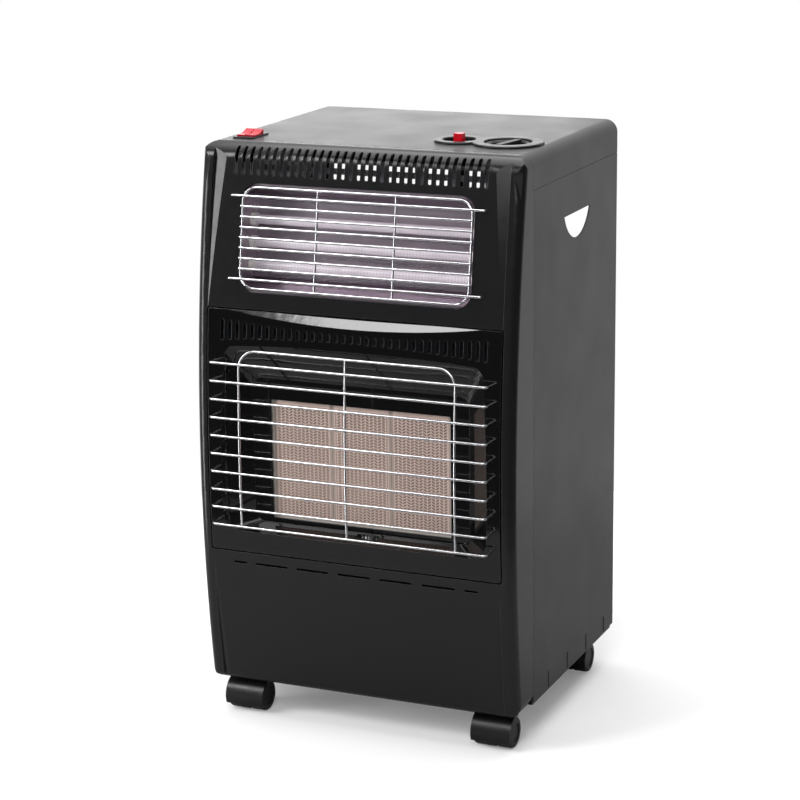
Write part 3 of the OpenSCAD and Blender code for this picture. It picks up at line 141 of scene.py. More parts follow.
@dataclass(frozen=True)
class Finish:
    """A surface, named for its material and how it was made.

    The base class sets the plain numbers of the shader, and each kind of surface adds its own
    pattern in the method pattern.

    Attributes:
        edge_mm: radius to which sharp edges look rounded, or 0.
        edge_wear_and_light_tone: colour painted along the edges, or nothing. Lighter tones stand
            for worn coat, and on the fascia and the enamel for a painted highlight too; darker ones
            for a painted shade line.
        edge_turn: likeness of the rounded normal to the flat one where that colour is full, and
            where it ends.
        edge_samples: rays that look for the edges.
        grain_mm: size of the grain in millimetres.
        grain_depth: height of the grain in millimetres.
        grain_stretch: scale along each axis, below one for a grain that runs along it.
        grain_spread: how far the roughness strays from its value.
        gloss_patch: size of the patches of even gloss, in grains.
        gloss_detail: finer layers that break these patches up.
        smoothest: lowest roughness that the spread may reach.
    """

    name: str
    colour: str
    roughness: float = 0.5
    metallic: float = 0.0
    specular: float = 0.5
    ior: float = 1.5
    edge_mm: float = 0.0
    edge_wear_and_light_tone: str = ""
    edge_turn: tuple[float, float] = (0.8, 0.97)
    edge_samples: int = 6
    grain_mm: float = 1.0
    grain_depth: float = 0.1
    grain_stretch: tuple[float, float, float] = (1.0, 1.0, 1.0)
    grain_spread: float = 0.05
    gloss_patch: float = 12.0
    gloss_detail: float = 3.0
    smoothest: float = 0.02

    def material(self) -> bpy.types.Material:
        """Makes the material on first use.

        Returns:
            The Blender material of this finish.
        """
        made = bpy.data.materials.get(self.name)
        if made:
            return made
        made = bpy.data.materials.new(self.name)
        made.use_nodes = True
        tree = made.node_tree
        shader = tree.nodes["Principled BSDF"]
        shader.inputs["Base Color"].default_value = srgb(self.colour)
        shader.inputs["Roughness"].default_value = self.roughness
        shader.inputs["Metallic"].default_value = self.metallic
        if not self.metallic:
            shader.inputs["IOR"].default_value = self.ior
            shader.inputs["Specular IOR Level"].default_value = self.specular
        made.diffuse_color = srgb(self.colour)
        self.pattern(tree, shader)
        return made

    def pattern(self, tree: Tree, shader: Shader) -> None:
        """Adds the grain: a bump and a roughness that varies, at the finish's own scale.

        Args:
            tree: the material's node tree.
            shader: its Principled shader.
        """
        place = add_node(tree, "TexCoord", out="Object")
        place = add_node(tree, "Mapping", {"Vector": place, "Scale": self.grain_stretch}, 0)
        gloss = sized(place, self.gloss_patch * self.grain_mm, self.gloss_detail)
        self.vary_roughness(tree, shader, add_node(tree, "TexNoise", gloss, "Fac"))
        self.raise_grain(tree, shader, place)

    def vary_roughness(self, tree: Tree, shader: Shader, factor: Socket) -> None:
        """Spreads the roughness about its value.

        Args:
            tree: the material's node tree.
            shader: its Principled shader.
            factor: the pattern, from 0 to 1.
        """
        low = max(self.roughness - self.grain_spread, self.smoothest)
        high = self.roughness + self.grain_spread
        spread = add_node(tree, "MapRange", (factor, NOISE_LOW, NOISE_HIGH, low, high), 0)
        tree.links.new(spread, shader.inputs["Roughness"])

    def tint(self, tree: Tree, shader: Shader, share: Socket, tone: str) -> None:
        """Mixes a tone into the colour that the surface has so far.

        Args:
            tree: the material's node tree.
            shader: its Principled shader.
            share: how much of the tone there is, from 0 to 1.
            tone: the hex colour that is added.
        """
        base = shader.inputs["Base Color"]
        below = base.links[0].from_socket if base.is_linked else srgb(self.colour)
        ends = {SHARE: share, FIRST: below, SECOND: srgb(tone)}
        tree.links.new(add_node(tree, "Mix", ends, MIXED, data_type="RGBA"), base)

    def paint_edge_wear_and_light(self, tree: Tree, shader: Shader, rounded: Socket) -> None:
        """Paints the edge tone along sharp edges: a lighter one for worn coat, on some finishes with
        a painted highlight, and a darker one for a painted shade line.

        Args:
            tree: the material's node tree.
            shader: its Principled shader.
            rounded: the normal of the rounded edge.
        """
        flat = add_node(tree, "NewGeometry", out="Normal")
        alike = add_node(tree, "VectorMath", (rounded, flat), "Value", operation="DOT_PRODUCT")
        share = add_node(tree, "MapRange", (alike, *self.edge_turn, 1.0, 0.0), 0)
        self.tint(tree, shader, share, self.edge_wear_and_light_tone)

    def raise_grain(self, tree: Tree, shader: Shader, place: Socket) -> None:
        """Raises a fine grain of the finish's own size.

        Args:
            tree: the material's node tree.
            shader: its Principled shader.
            place: coordinates in metres.
        """
        self.bump(tree, shader, add_node(tree, "TexNoise", sized(place, self.grain_mm), "Fac"))

    def bump(self, tree: Tree, shader: Shader, height: Socket) -> None:
        """Raises the surface by a pattern, rounds its edges where asked, and paints on them the
        tone of wear and painted light.

        Args:
            tree: the material's node tree.
            shader: its Principled shader.
            height: the pattern, 1 at its highest.
        """
        inputs = {"Height": height, "Strength": 1.0, "Distance": self.grain_depth * MM}
        if self.edge_mm:
            inputs["Normal"] = add_node(tree, "Bevel", {"Radius": self.edge_mm * MM}, 0,
                                        samples=self.edge_samples)
            # Worn edges, painted highlights and painted shade lines, by the tone given
            if self.edge_wear_and_light_tone:
                self.paint_edge_wear_and_light(tree, shader, inputs["Normal"])
        tree.links.new(add_node(tree, "Bump", inputs, 0), shader.inputs["Normal"])

    def let_light_in(self, shader: Shader, weight: float, reach_mm: Sequence[float]) -> None:
        """Lets light under the surface.

        Args:
            shader: the Principled shader.
            weight: share of the light that goes under.
            reach_mm: how far red, green and blue go, in millimetres.
        """
        shader.inputs["Subsurface Weight"].default_value = weight
        shader.inputs["Subsurface Radius"].default_value = [reach * MM for reach in reach_mm]
        shader.inputs["Subsurface Scale"].default_value = 1.0


@dataclass(frozen=True)
class PowderCoat(Finish):
    """Baked powder coat: a fine orange peel, uneven gloss and a breath of dust.

    Attributes:
        dust_tilt: how far a face looks up where dust begins to lie and where it lies fully.
        dust_share: the most dust there is on the colour.
    """

    gloss_mm: float = 60.0
    dust: str = "#6a6a6c"
    dust_mm: float = 25.0
    dust_detail: float = 5.0
    dust_tilt: tuple[float, float] = (0.6, 1.0)
    dust_share: float = 0.12

    def pattern(self, tree: Tree, shader: Shader) -> None:
        """Adds orange peel, uneven gloss and dust on faces that look up.

        Args:
            tree: the material's node tree.
            shader: its Principled shader.
        """
        place = add_node(tree, "TexCoord", out="Object")
        gloss = add_node(tree, "TexNoise", sized(place, self.gloss_mm, PATCH_DETAIL), "Fac")
        self.vary_roughness(tree, shader, gloss)
        normal = add_node(tree, "NewGeometry", out="Normal")
        up = add_node(tree, "SeparateXYZ", (normal,), "Z")
        lying = add_node(tree, "MapRange", (up, *self.dust_tilt, 0.0, self.dust_share), 0)
        cloud = add_node(tree, "TexNoise", sized(place, self.dust_mm, self.dust_detail), "Fac")
        amount = add_node(tree, "Math", (lying, cloud), 0, operation="MULTIPLY")
        self.tint(tree, shader, amount, self.dust)
        self.raise_grain(tree, shader, place)


@dataclass(frozen=True)
class Galvanised(Finish):
    """Hot-dip galvanised sheet: crystals of zinc a few millimetres across."""

    crystal_mm: float = 7.0
    dark: str = "#8d9296"

    def pattern(self, tree: Tree, shader: Shader) -> None:
        """Tints and roughens each crystal a little differently.

        Args:
            tree: the material's node tree.
            shader: its Principled shader.
        """
        place = add_node(tree, "TexCoord", out="Object")
        size = {"Vector": place, "Scale": 1 / (self.crystal_mm * MM)}
        crystal = add_node(tree, "TexVoronoi", size, "Color")
        tone = add_node(tree, "SeparateXYZ", (crystal,), "X")
        self.tint(tree, shader, tone, self.dark)
        self.vary_roughness(tree, shader, tone)
        self.raise_grain(tree, shader, place)


@dataclass(frozen=True)
class Tinted(Finish):
    """A surface whose colour drifts between two tones, such as fired clay, brass or nylon."""

    second: str = BLACK
    patch_mm: float = 8.0

    def pattern(self, tree: Tree, shader: Shader) -> None:
        """Mixes the second tone in by patches and adds the usual grain.

        Args:
            tree: the material's node tree.
            shader: its Principled shader.
        """
        place = add_node(tree, "TexCoord", out="Object")
        cloud = add_node(tree, "TexNoise", sized(place, self.patch_mm, PATCH_DETAIL), "Fac")
        patches = add_node(tree, "MapRange", (cloud, PATCH_LOW, PATCH_HIGH, 0.0, 1.0), 0)
        self.tint(tree, shader, patches, self.second)
        gloss = add_node(tree, "TexNoise", sized(place, self.patch_mm), "Fac")
        self.vary_roughness(tree, shader, gloss)
        self.raise_grain(tree, shader, place)


@dataclass(frozen=True)
class PerforatedCeramic(Finish):
    """Pressed and fired burner plaque: a herringbone of slots inside a plain border.

    The pressed holes are about 1.2 mm wide, too fine to show from a few metres away, where their
    slanted rows are what the eye sees. So each row is drawn as slots that are wide enough to show,
    darkened with painted shade for the depth of the holes.

    Attributes:
        x0: left edge of the plaque in metres.
        x1: right edge in metres.
        z0: foot in metres.
        z1: head in metres.
        slope: rise of a slot over its run.
        turn_width: how quickly the lean changes from one column to the next.
        rim: where a slot's edge begins and ends, as shares of its bore.
        border_fade: how far the border's inner edge is drawn out, as a factor.
        joint_fade: the same for the shade of the joint.
        joint_share: depth of that shade.
        patch_share: the most that the clay darkens in patches.
    """

    x0: float = 0.0
    x1: float = 1.0
    z0: float = 0.0
    z1: float = 1.0
    # Painted shade inside the slots, where little light reaches into the holes
    shaded_hole: str = "#4a3630"
    joint: str = "#94877f"
    border_mm: float = 4.2
    joint_mm: float = 2.6
    row_mm: float = 3.7
    column_mm: float = 5.4
    slot_mm: float = 3.9
    bore_mm: float = 1.7
    slope: float = 0.7
    turn_width: float = 0.001
    rim: tuple[float, float] = (0.42, 0.58)
    border_fade: float = 1.08
    joint_fade: float = 1.3
    joint_share: float = 0.85
    patch_mm: float = 14.0
    patch_share: float = 0.25

    def slots(self, tree: Tree, across: Socket, up: Socket) -> Socket:
        """Lays out slots in columns that lean to one side and to the other by turns.

        Args:
            tree: the material's node tree.
            across: place along the plaque in metres.
            up: height in metres.

        Returns:
            The pattern, 1 in a slot and 0 beside it.
        """
        column = add_node(tree, "Math", (across, self.column_mm * MM), 0, operation="DIVIDE")
        pair = add_node(tree, "Math", (column, 2.0), 0, operation="FLOORED_MODULO")
        turn = (pair, 1 - self.turn_width, 1 + self.turn_width, -1.0, 1.0)
        turn = add_node(tree, "MapRange", turn, 0)
        off = add_node(tree, "Math", (column,), 0, operation="FRACT")
        off = add_node(tree, "Math", (off, 0.5), 0, operation="SUBTRACT")
        off = add_node(tree, "Math", (off, self.column_mm), 0, operation="MULTIPLY")
        lean = add_node(tree, "Math", (off, turn), 0, operation="MULTIPLY")
        lean = add_node(tree, "Math", (lean, self.slope), 0, operation="MULTIPLY")
        row = add_node(tree, "Math", (up, 1 / MM, lean), 0, operation="MULTIPLY_ADD")
        row = add_node(tree, "Math", (row, self.row_mm), 0, operation="DIVIDE")
        row = add_node(tree, "Math", (row,), 0, operation="FRACT")
        row = add_node(tree, "Math", (row, 0.5), 0, operation="SUBTRACT")
        row = add_node(tree, "Math", (row, self.row_mm), 0, operation="MULTIPLY")
        straight = (self.slot_mm - self.bore_mm) / 2
        past = add_node(tree, "Math", (off,), 0, operation="ABSOLUTE")
        past = add_node(tree, "Math", (past, straight), 0, operation="SUBTRACT")
        past = add_node(tree, "Math", (past, 0.0), 0, operation="MAXIMUM")
        spot = add_node(tree, "CombineXYZ", (past, row), 0)
        away = add_node(tree, "VectorMath", (spot,), "Value", operation="LENGTH")
        rim = (self.bore_mm * share for share in self.rim)
        return add_node(tree, "MapRange", (away, *rim, 1.0, 0.0), 0)

    def margins(self, tree: Tree, across: Socket, up: Socket) -> tuple[Socket, Socket]:
        """Measures how far a point lies inside the plaque.

        Args:
            tree: the material's node tree.
            across: place along the plaque in metres.
            up: height in metres.

        Returns:
            Metres from the nearer side, and from the nearest edge of all.
        """
        left = add_node(tree, "Math", (across, self.x0), 0, operation="SUBTRACT")
        right = add_node(tree, "Math", (self.x1, across), 0, operation="SUBTRACT")
        foot = add_node(tree, "Math", (up, self.z0), 0, operation="SUBTRACT")
        head = add_node(tree, "Math", (self.z1, up), 0, operation="SUBTRACT")
        side = add_node(tree, "Math", (left, right), 0, operation="MINIMUM")
        end = add_node(tree, "Math", (foot, head), 0, operation="MINIMUM")
        return side, add_node(tree, "Math", (side, end), 0, operation="MINIMUM")

    def pattern(self, tree: Tree, shader: Shader) -> None:
        """Sinks the slots and darkens them with painted shade, and shades the joint beside the next
        plaque.

        Args:
            tree: the material's node tree.
            shader: its Principled shader.
        """
        place = add_node(tree, "TexCoord", out="Object")
        across, _, up = add_node(tree, "SeparateXYZ", (place,)).outputs
        side, edge = self.margins(tree, across, up)
        border = self.border_mm * MM
        within = add_node(tree, "MapRange", (edge, border, border * self.border_fade, 0.0, 1.0), 0)
        shaded_hole = (self.slots(tree, across, up), within)
        shaded_hole = add_node(tree, "Math", shaded_hole, 0, operation="MULTIPLY")
        cloud = add_node(tree, "TexNoise", sized(place, self.patch_mm, PATCH_DETAIL), "Fac")
        patch = add_node(tree, "MapRange", (cloud, NOISE_LOW, NOISE_HIGH, 0.0, self.patch_share), 0)
        joint = self.joint_mm * MM
        shade = (side, joint, joint * self.joint_fade, self.joint_share, 0.0)
        self.tint(tree, shader, patch, self.joint)
        self.tint(tree, shader, add_node(tree, "MapRange", shade, 0), self.joint)
        # Painted shade in the slots
        self.tint(tree, shader, shaded_hole, self.shaded_hole)
        self.bump(tree, shader, add_node(tree, "Math", (1.0, shaded_hole), 0, operation="SUBTRACT"))


@dataclass(frozen=True)
class MilkyQuartz(Finish):
    """Sand-fused quartz: a milky wall with drawn streaks, through which the coil shows faintly.

    Attributes:
        streak_stretch: scale along each axis, small along the tube that was drawn.
        streak_share: the most that a streak tints the wall.
        coil_mm: pitch of the heating coil.
        coil_share: the most that a turn of the coil tints the wall.
    """

    streak: str = "#cabdc8"
    streak_mm: float = 1.5
    streak_detail: float = 3.0
    streak_stretch: tuple[float, float, float] = (0.02, 1.0, 1.0)
    streak_share: float = 0.4
    coil_mm: float = 4.2
    coil_share: float = 0.35
    light_share: float = 0.15
    light_reach_mm: tuple[float, float, float] = (2.0, 2.0, 2.0)

    def pattern(self, tree: Tree, shader: Shader) -> None:
        """Adds streaks along the tube and the soft bands of the heating coil.

        Args:
            tree: the material's node tree.
            shader: its Principled shader.
        """
        place = add_node(tree, "TexCoord", out="Object")
        drawn = add_node(tree, "Mapping", {"Vector": place, "Scale": self.streak_stretch}, 0)
        drawn = sized(drawn, self.streak_mm, self.streak_detail)
        streaks = add_node(tree, "TexNoise", drawn, "Fac")
        lines = add_node(tree, "MapRange", (streaks, PATCH_LOW, PATCH_HIGH, 0.0, 1.0), 0)
        half = self.coil_mm / 2 * MM
        across = add_node(tree, "SeparateXYZ", (place,), "X")
        turn = add_node(tree, "Math", (across, half), 0, operation="PINGPONG")
        band = add_node(tree, "MapRange", (turn, 0.0, half, 0.0, self.coil_share), 0)
        share = (lines, self.streak_share, band)
        share = add_node(tree, "Math", share, 0, operation="MULTIPLY_ADD")
        self.tint(tree, shader, share, self.streak)
        self.let_light_in(shader, self.light_share, self.light_reach_mm)
        self.bump(tree, shader, streaks)


@dataclass(frozen=True)
class LampPlastic(Finish):
    """Moulded translucent polycarbonate, as on rockers with a lamp inside.

    Attributes:
        deep: the deeper tone of thick places.
        deep_share: the most there is of it.
    """

    deep: str = "#8c0014"
    deep_mm: float = 5.0
    deep_share: float = 0.5
    light_share: float = 0.4
    light_reach_mm: tuple[float, float, float] = (4.0, 0.6, 0.6)

    def pattern(self, tree: Tree, shader: Shader) -> None:
        """Lets light under the surface and deepens the colour by patches.

        Args:
            tree: the material's node tree.
            shader: its Principled shader.
        """
        place = add_node(tree, "TexCoord", out="Object")
        cloud = add_node(tree, "TexNoise", sized(place, self.deep_mm), "Fac")
        patches = add_node(tree, "MapRange", (cloud, PATCH_LOW, PATCH_HIGH, 0.0, self.deep_share), 0)
        self.tint(tree, shader, patches, self.deep)
        self.let_light_in(shader, self.light_share, self.light_reach_mm)
        self.raise_grain(tree, shader, place)


class Surface(Enum):
    """Every finish of the heater, apart from the plaques, which are made to their own edges."""

    # Semi-gloss powder coat baked on folded sheet steel: soft reflections at a flat angle
    CABINET = PowderCoat("powder_coated_steel", "#202021", 0.36, specular=0.42, edge_mm=0.5,
                         edge_wear_and_light_tone="#3c3c3e", grain_mm=1.6, grain_depth=0.012, grain_spread=0.03)
    # Injection moulded ABS with a satin skin: nearly black, with soft lights on its curves
    # Its pale edge tone is worn skin with a painted highlight along the edges
    FASCIA = Finish("satin_moulded_abs", "#19191a", 0.22, specular=0.3, edge_mm=0.5,
                    edge_wear_and_light_tone="#58585b", grain_mm=0.9, grain_depth=0.006, grain_spread=0.03)
    # Fired black enamel on pressed steel: a glassy coat that flows a little
    # Its grey edge tone is a painted highlight along the rims
    ENAMEL = Finish("fired_black_enamel", "#060607", 0.07, specular=0.45, edge_mm=0.8,
                    edge_wear_and_light_tone="#4c4c50", grain_mm=9.0, grain_depth=0.03, grain_spread=0.02)
    # Bright zinc-plated wire with a thin chromate film: white glints along every wire
    WIRE = Finish("bright_plated_wire", "#d9d9dc", 0.16, metallic=1.0, grain_mm=0.8,
                  grain_depth=0.01, grain_stretch=(0.1, 1.0, 1.0))
    # Anodised aluminium, rolled along the heater, with a warm violet film
    REFLECTOR = Finish("anodised_aluminium", "#b9adb7", 0.3, metallic=1.0, grain_mm=0.7,
                       grain_depth=0.01, grain_stretch=(0.03, 1.0, 1.0), grain_spread=0.06)
    # Hot-dip galvanised sheet: its crystals show as lighter and darker greys
    GALVANISED = Galvanised("galvanised_sheet", "#b4b8bb", 0.36, metallic=1.0, grain_mm=2.0,
                            grain_depth=0.01)
    # Zinc-plated turned and stamped steel: bright, with a faint yellow cast in places
    ZINC = Tinted("zinc_plated_steel", "#bfc1c4", 0.28, metallic=1.0, second="#a4a59f",
                  patch_mm=6.0, grain_mm=0.6, grain_depth=0.008)
    # Milky quartz of the heating tubes, fused from sand: it glows softly
    QUARTZ = MilkyQuartz("milky_fused_quartz", "#f4ebf4", 0.18, grain_depth=0.02)
    # Steatite caps, pressed and fired, unglazed: chalky white
    STEATITE = Tinted("fired_steatite", "#f4f1ee", 0.55, second="#dcd7d2", patch_mm=5.0,
                      grain_mm=0.4, grain_depth=0.03, edge_mm=0.4)
    # Pressed ceramic fibre board round the plaques: matt and uneven
    FIBRE = Tinted("ceramic_fibre_board", "#cfc8c0", 0.9, specular=0.2, second="#b7aea4",
                   grain_mm=0.7, grain_depth=0.2)
    # Hot-dip aluminised and pressed steel of the burner housing: dull and even
    ALUMINISED = Finish("aluminised_steel", "#8e8f91", 0.42, metallic=1.0, grain_mm=1.2,
                        grain_depth=0.02)
    # Turned and forged brass: a brown film dulls it in patches
    BRASS = Tinted("turned_brass", "#c8a25c", 0.25, metallic=1.0, second="#9a7340",
                   patch_mm=9.0, grain_mm=0.5, grain_depth=0.01)
    # Moulded ABS of the control and switch bezels: the backdrop shows in it at a flat angle
    BEZEL = Finish("glossy_moulded_abs", "#1a1a1b", 0.3, specular=0.3, edge_mm=0.6,
                   grain_mm=1.2, grain_depth=0.01, grain_spread=0.03)
    # ABS of the knob, moulded with a fine spark-eroded texture: duller than its bezel
    KNOB = Finish("textured_moulded_abs", "#121213", 0.38, specular=0.45, grain_mm=0.35,
                  grain_depth=0.02)
    # Red ABS of the ignition button, moulded: dense and shiny
    BUTTON = Finish("red_moulded_abs", "#c40a1c", 0.24, grain_mm=0.8, grain_depth=0.01)
    # Red polycarbonate of the rockers, moulded: translucent, with painted shade along its edges
    ROCKER = LampPlastic("red_polycarbonate", "#c4102b", 0.2, edge_mm=0.8, edge_wear_and_light_tone="#4a0410",
                         grain_mm=2.0, grain_depth=0.01)
    # Moulded nylon of the castor wheels: scuffed to a paler grey in patches
    NYLON = Tinted("scuffed_nylon", "#19191a", 0.42, specular=0.4, second="#2b2b2c",
                   patch_mm=7.0, grain_mm=0.6, grain_depth=0.03)
    # Polypropylene castor hoods, moulded with a low gloss
    HOOD = Finish("moulded_polypropylene", "#141415", 0.34, specular=0.45, grain_mm=0.5,
                  grain_depth=0.02)
    # Drawn resistance wire, oxidised by its first firing: dark and dull
    COIL = Finish("oxidised_resistance_wire", "#6a5f5c", 0.5, metallic=1.0, grain_mm=0.3,
                  grain_depth=0.01)


Look = Union[Surface, Finish]


def paint(piece: bpy.types.Object, look: Look) -> None:
    """Gives every face of an object one finish.

    Args:
        piece: a node or a new piece.
        look: one of the heater's finishes, or one made for this piece.
    """
    finish = look.value if isinstance(look, Surface) else look
    piece.data.materials.clear()
    piece.data.materials.append(finish.material())


@dataclass(frozen=True)
class Shading:
    """How a mesh is smoothed, in live modifiers that leave the node's own mesh alone.

    Attributes:
        sharp_angle: smallest angle in degrees that stays a sharp edge.
        weld_gap: how near loose triangles lie to be joined, in metres.
        face_weight: 100 lets the large faces rule the normals.
        rounding: radius that sharp edges get, in metres, or 0.
        round_segments: facets across such an edge.
    """

    sharp_angle: float = 32.0
    weld_gap: float = 0.002 * MM
    face_weight: int = 100
    rounding: float = 0.0
    round_segments: int = 3

    def apply(self, piece: bpy.types.Object) -> None:
        """Welds a mesh, rounds it where asked, and smooths it up to its sharp edges.

        Args:
            piece: a node of the frame.
        """
        piece.data.polygons.foreach_set("use_smooth", [True] * len(piece.data.polygons))
        joined = piece.modifiers.new("weld", "WELD")
        joined.merge_threshold = self.weld_gap
        if self.rounding:
            rounded = piece.modifiers.new("rounded", "BEVEL")
            rounded.width = self.rounding
            rounded.segments = self.round_segments
            rounded.limit_method = "ANGLE"
        split = piece.modifiers.new("edges", "EDGE_SPLIT")
        split.split_angle = math.radians(self.sharp_angle)
        even = piece.modifiers.new("even", "WEIGHTED_NORMAL")
        even.weight = self.face_weight


def dress(look: Look, *names: str, shading: Shading = Shading()) -> None:
    """Smooths and paints the named nodes of the frame.

    Args:
        look: one of the heater's finishes, or one made for these nodes.
        names: the nodes.
        shading: how they are smoothed.
    """
    for name in names:
        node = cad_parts[name]
        shading.apply(node)
        paint(node, look)
        LOG.info("node %s: %s", name, node.data.materials[0].name)


def new_piece(name: str, bm: bmesh.types.BMesh, body: str, look: Look) -> bpy.types.Object:
    """Turns a bmesh in place into a piece that rides on a body.

    Args:
        name: name of the piece.
        bm: its mesh, in metres and in place; it is freed.
        body: the body that it rides on.
        look: one of the heater's finishes, or one made for this piece.

    Returns:
        The new object.
    """
    bmesh.ops.remove_doubles(bm, verts=bm.verts, dist=MERGE_GAP)
    bmesh.ops.recalc_face_normals(bm, faces=bm.faces)
    data = bpy.data.meshes.new(name)
    bm.to_mesh(data)
    bm.free()
    piece = bpy.data.objects.new(name, data)
    bpy.context.scene.collection.objects.link(piece)
    paint(piece, look)
    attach(piece, body)
    LOG.info("piece %s on %s: %d faces", name, body, len(data.polygons))
    return piece


@dataclass
class Cabinet:
    """Sheet metal body: cover, sides, tray, shield, rail and the lift-off back."""

    painted: Sequence[str] = ("top_cover", "side_panel_left", "side_panel_right", "base_tray",
                              "rear_rail", "rear_cover")

    def build(self) -> None:
        """Dresses the panels, the shield and the screws."""
        dress(Surface.CABINET, *self.painted)
        dress(Surface.GALVANISED, "divider_shield")
        dress(Surface.ZINC, "cover_screws")


@dataclass
class Front:
    """Moulded fascia, enamelled burner panel and the two wire guards.

    Attributes:
        facets: the faces of both mouldings meet at a few degrees and keep their edges.
    """

    facets: Shading = Shading(sharp_angle=11.0)

    def build(self) -> None:
        """Dresses the mouldings and the guards."""
        dress(Surface.FASCIA, "fascia", shading=self.facets)
        dress(Surface.ENAMEL, "burner_panel", shading=self.facets)
        dress(Surface.WIRE, "lower_guard", "upper_guard")


@dataclass
class ElectricHeater:
    """Upper section: reflector, tubes, caps, coils and the red rockers.

    Attributes:
        coil_radius: from the tube's axis to the middle of the wire, in metres.
        coil_wire: radius of the wire.
        coil_pitch: distance between two turns.
        coil_end: bare length at each end of a tube.
        wire_sides: corners of the wire's section.
        turn_steps: straight pieces in a turn.
    """

    coil_radius: float = 3.2 * MM
    coil_wire: float = 0.55 * MM
    coil_pitch: float = 4.2 * MM
    coil_end: float = 20 * MM
    wire_sides: int = 5
    turn_steps: int = 14
    tubes: Sequence[str] = ("upper", "middle", "lower")
    rocker_edges: Shading = Shading(rounding=0.9 * MM)

    def build(self) -> None:
        """Dresses the upper section and winds the three coils."""
        dress(Surface.REFLECTOR, "upper_reflector", "tube_brackets")
        dress(Surface.QUARTZ, *(f"quartz_tube_{name}" for name in self.tubes))
        dress(Surface.STEATITE, "tube_end_caps")
        dress(Surface.BEZEL, "switch_bezel", "switch_body")
        dress(Surface.ROCKER, "rocker_left", "rocker_right", shading=self.rocker_edges)
        dress(Surface.HOOD, "cable_gland")
        for name in self.tubes:
            self.coil(name)

    def coil(self, name: str) -> bpy.types.Object:
        """Winds the heating coil of one tube.

        Args:
            name: upper, middle or lower.

        Returns:
            The coil piece.
        """
        low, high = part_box(f"quartz_tube_{name}")
        middle = (low + high) / 2
        start = low.x + self.coil_end
        top = (start, middle.y, middle.z + self.coil_radius)
        axis, centre = Vector((1, 0, 0)), Vector((start, middle.y, middle.z))
        turns = (high.x - low.x - 2 * self.coil_end) / self.coil_pitch
        bm = bmesh.new()
        ring = bmesh.ops.create_circle(bm, segments=self.wire_sides, radius=self.coil_wire)["verts"]
        upright = Matrix.Translation(top) @ Matrix.Rotation(QUARTER, 4, "Y")
        bmesh.ops.transform(bm, matrix=upright, verts=ring)
        bmesh.ops.rotate(bm, cent=top, verts=ring, matrix=Matrix.Rotation(QUARTER, 3, "Z"))
        bmesh.ops.spin(bm, geom=bm.edges[:], cent=centre, axis=axis, angle=2 * math.pi * turns,
                       steps=round(turns * self.turn_steps),
                       dvec=axis * (self.coil_pitch / self.turn_steps))
        bmesh.ops.holes_fill(bm, edges=[edge for edge in bm.edges if edge.is_boundary])
        return new_piece(f"heating_coil_{name}", bm, CABINET, Surface.COIL)


@dataclass
class GasBurner:
    """Lower section: housing, plaques, pipes, pilot, valve and hose nozzle."""

    plaques: Sequence[str] = ("plaque_left", "plaque_centre", "plaque_right")

    def build(self) -> None:
        """Dresses the burner and gives every plaque its own field of slots."""
        dress(Surface.ALUMINISED, "burner_housing")
        dress(Surface.FIBRE, "plaque_gasket")
        dress(Surface.BRASS, "gas_manifold", "gas_valve", "valve_rotor", "inlet_nozzle")
        dress(Surface.ZINC, "feed_pipe", "pilot_pipe", "pilot_burner", "valve_bracket")
        dress(Surface.WIRE, "valve_spindle", "igniter_probes")
        for name in self.plaques:
            self.plaque(name)

    def plaque(self, name: str) -> None:
        """Dresses one plaque with slots laid out from its own edges.

        Args:
            name: the plaque's node.
        """
        low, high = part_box(name)
        # Cordierite, pressed and fired: matt, pinkish clay
        clay = PerforatedCeramic(f"perforated_ceramic_{name}", "#c4aea4", 0.75, specular=0.3,
                                 grain_depth=1.2, x0=low.x, x1=high.x, z0=low.z, z1=high.z)
        dress(clay, name)


@dataclass
class Controls:
    """Bezel, knob, igniter and its button on the top."""

    def build(self) -> None:
        """Dresses the controls."""
        dress(Surface.BEZEL, "control_bezel")
        dress(Surface.KNOB, "gas_knob", "igniter_body")
        dress(Surface.BUTTON, "ignition_button")


@dataclass
class Castors:
    """Four swivelling twin-wheel castors."""

    corners: Sequence[str] = ("front_left", "front_right", "rear_left", "rear_right")

    def build(self) -> None:
        """Dresses plates, hoods, pins and wheels."""
        dress(Surface.ZINC, "castor_plates")
        for corner in self.corners:
            dress(Surface.HOOD, f"castor_hood_{corner}")
            dress(Surface.ZINC, f"castor_pins_{corner}")
            dress(Surface.NYLON, f"castor_wheel_{corner}_a", f"castor_wheel_{corner}_b")


def towards(azimuth: float, elevation: float) -> Vector:
    """Direction from the heater to a lamp or a camera.

    Args:
        azimuth: degrees round from the front, positive to the right.
        elevation: degrees up.

    Returns:
        A vector of length one.
    """
    a, e = math.radians(azimuth), math.radians(elevation)
    return Vector((math.sin(a) * math.cos(e), -math.cos(a) * math.cos(e), math.sin(e)))


@dataclass(frozen=True)
class Softbox:
    """A rectangular studio lamp that faces the heater, in degrees and metres.

    Attributes:
        glow: brightness of its face, where white paper is 1.
    """

    name: str
    azimuth: float
    elevation: float
    distance: float
    width: float
    height: float
    glow: float
    aim: tuple[float, float, float] = (0.0, 0.0, 0.4)

    def hang(self) -> bpy.types.Object:
        """Hangs the lamp.

        Returns:
            The lamp object.
        """
        away = towards(self.azimuth, self.elevation)
        lamp = bpy.data.lights.new(self.name, "AREA")
        lamp.shape = "RECTANGLE"
        lamp.size, lamp.size_y = self.width, self.height
        lamp.energy = self.glow * math.pi * self.width * self.height
        hung = bpy.data.objects.new(self.name, lamp)
        hung.location = Vector(self.aim) + away * self.distance
        hung.rotation_mode = "QUATERNION"
        hung.rotation_quaternion = away.to_track_quat("Z", "Y")
        hung.visible_camera = False
        bpy.context.scene.collection.objects.link(hung)
        return hung


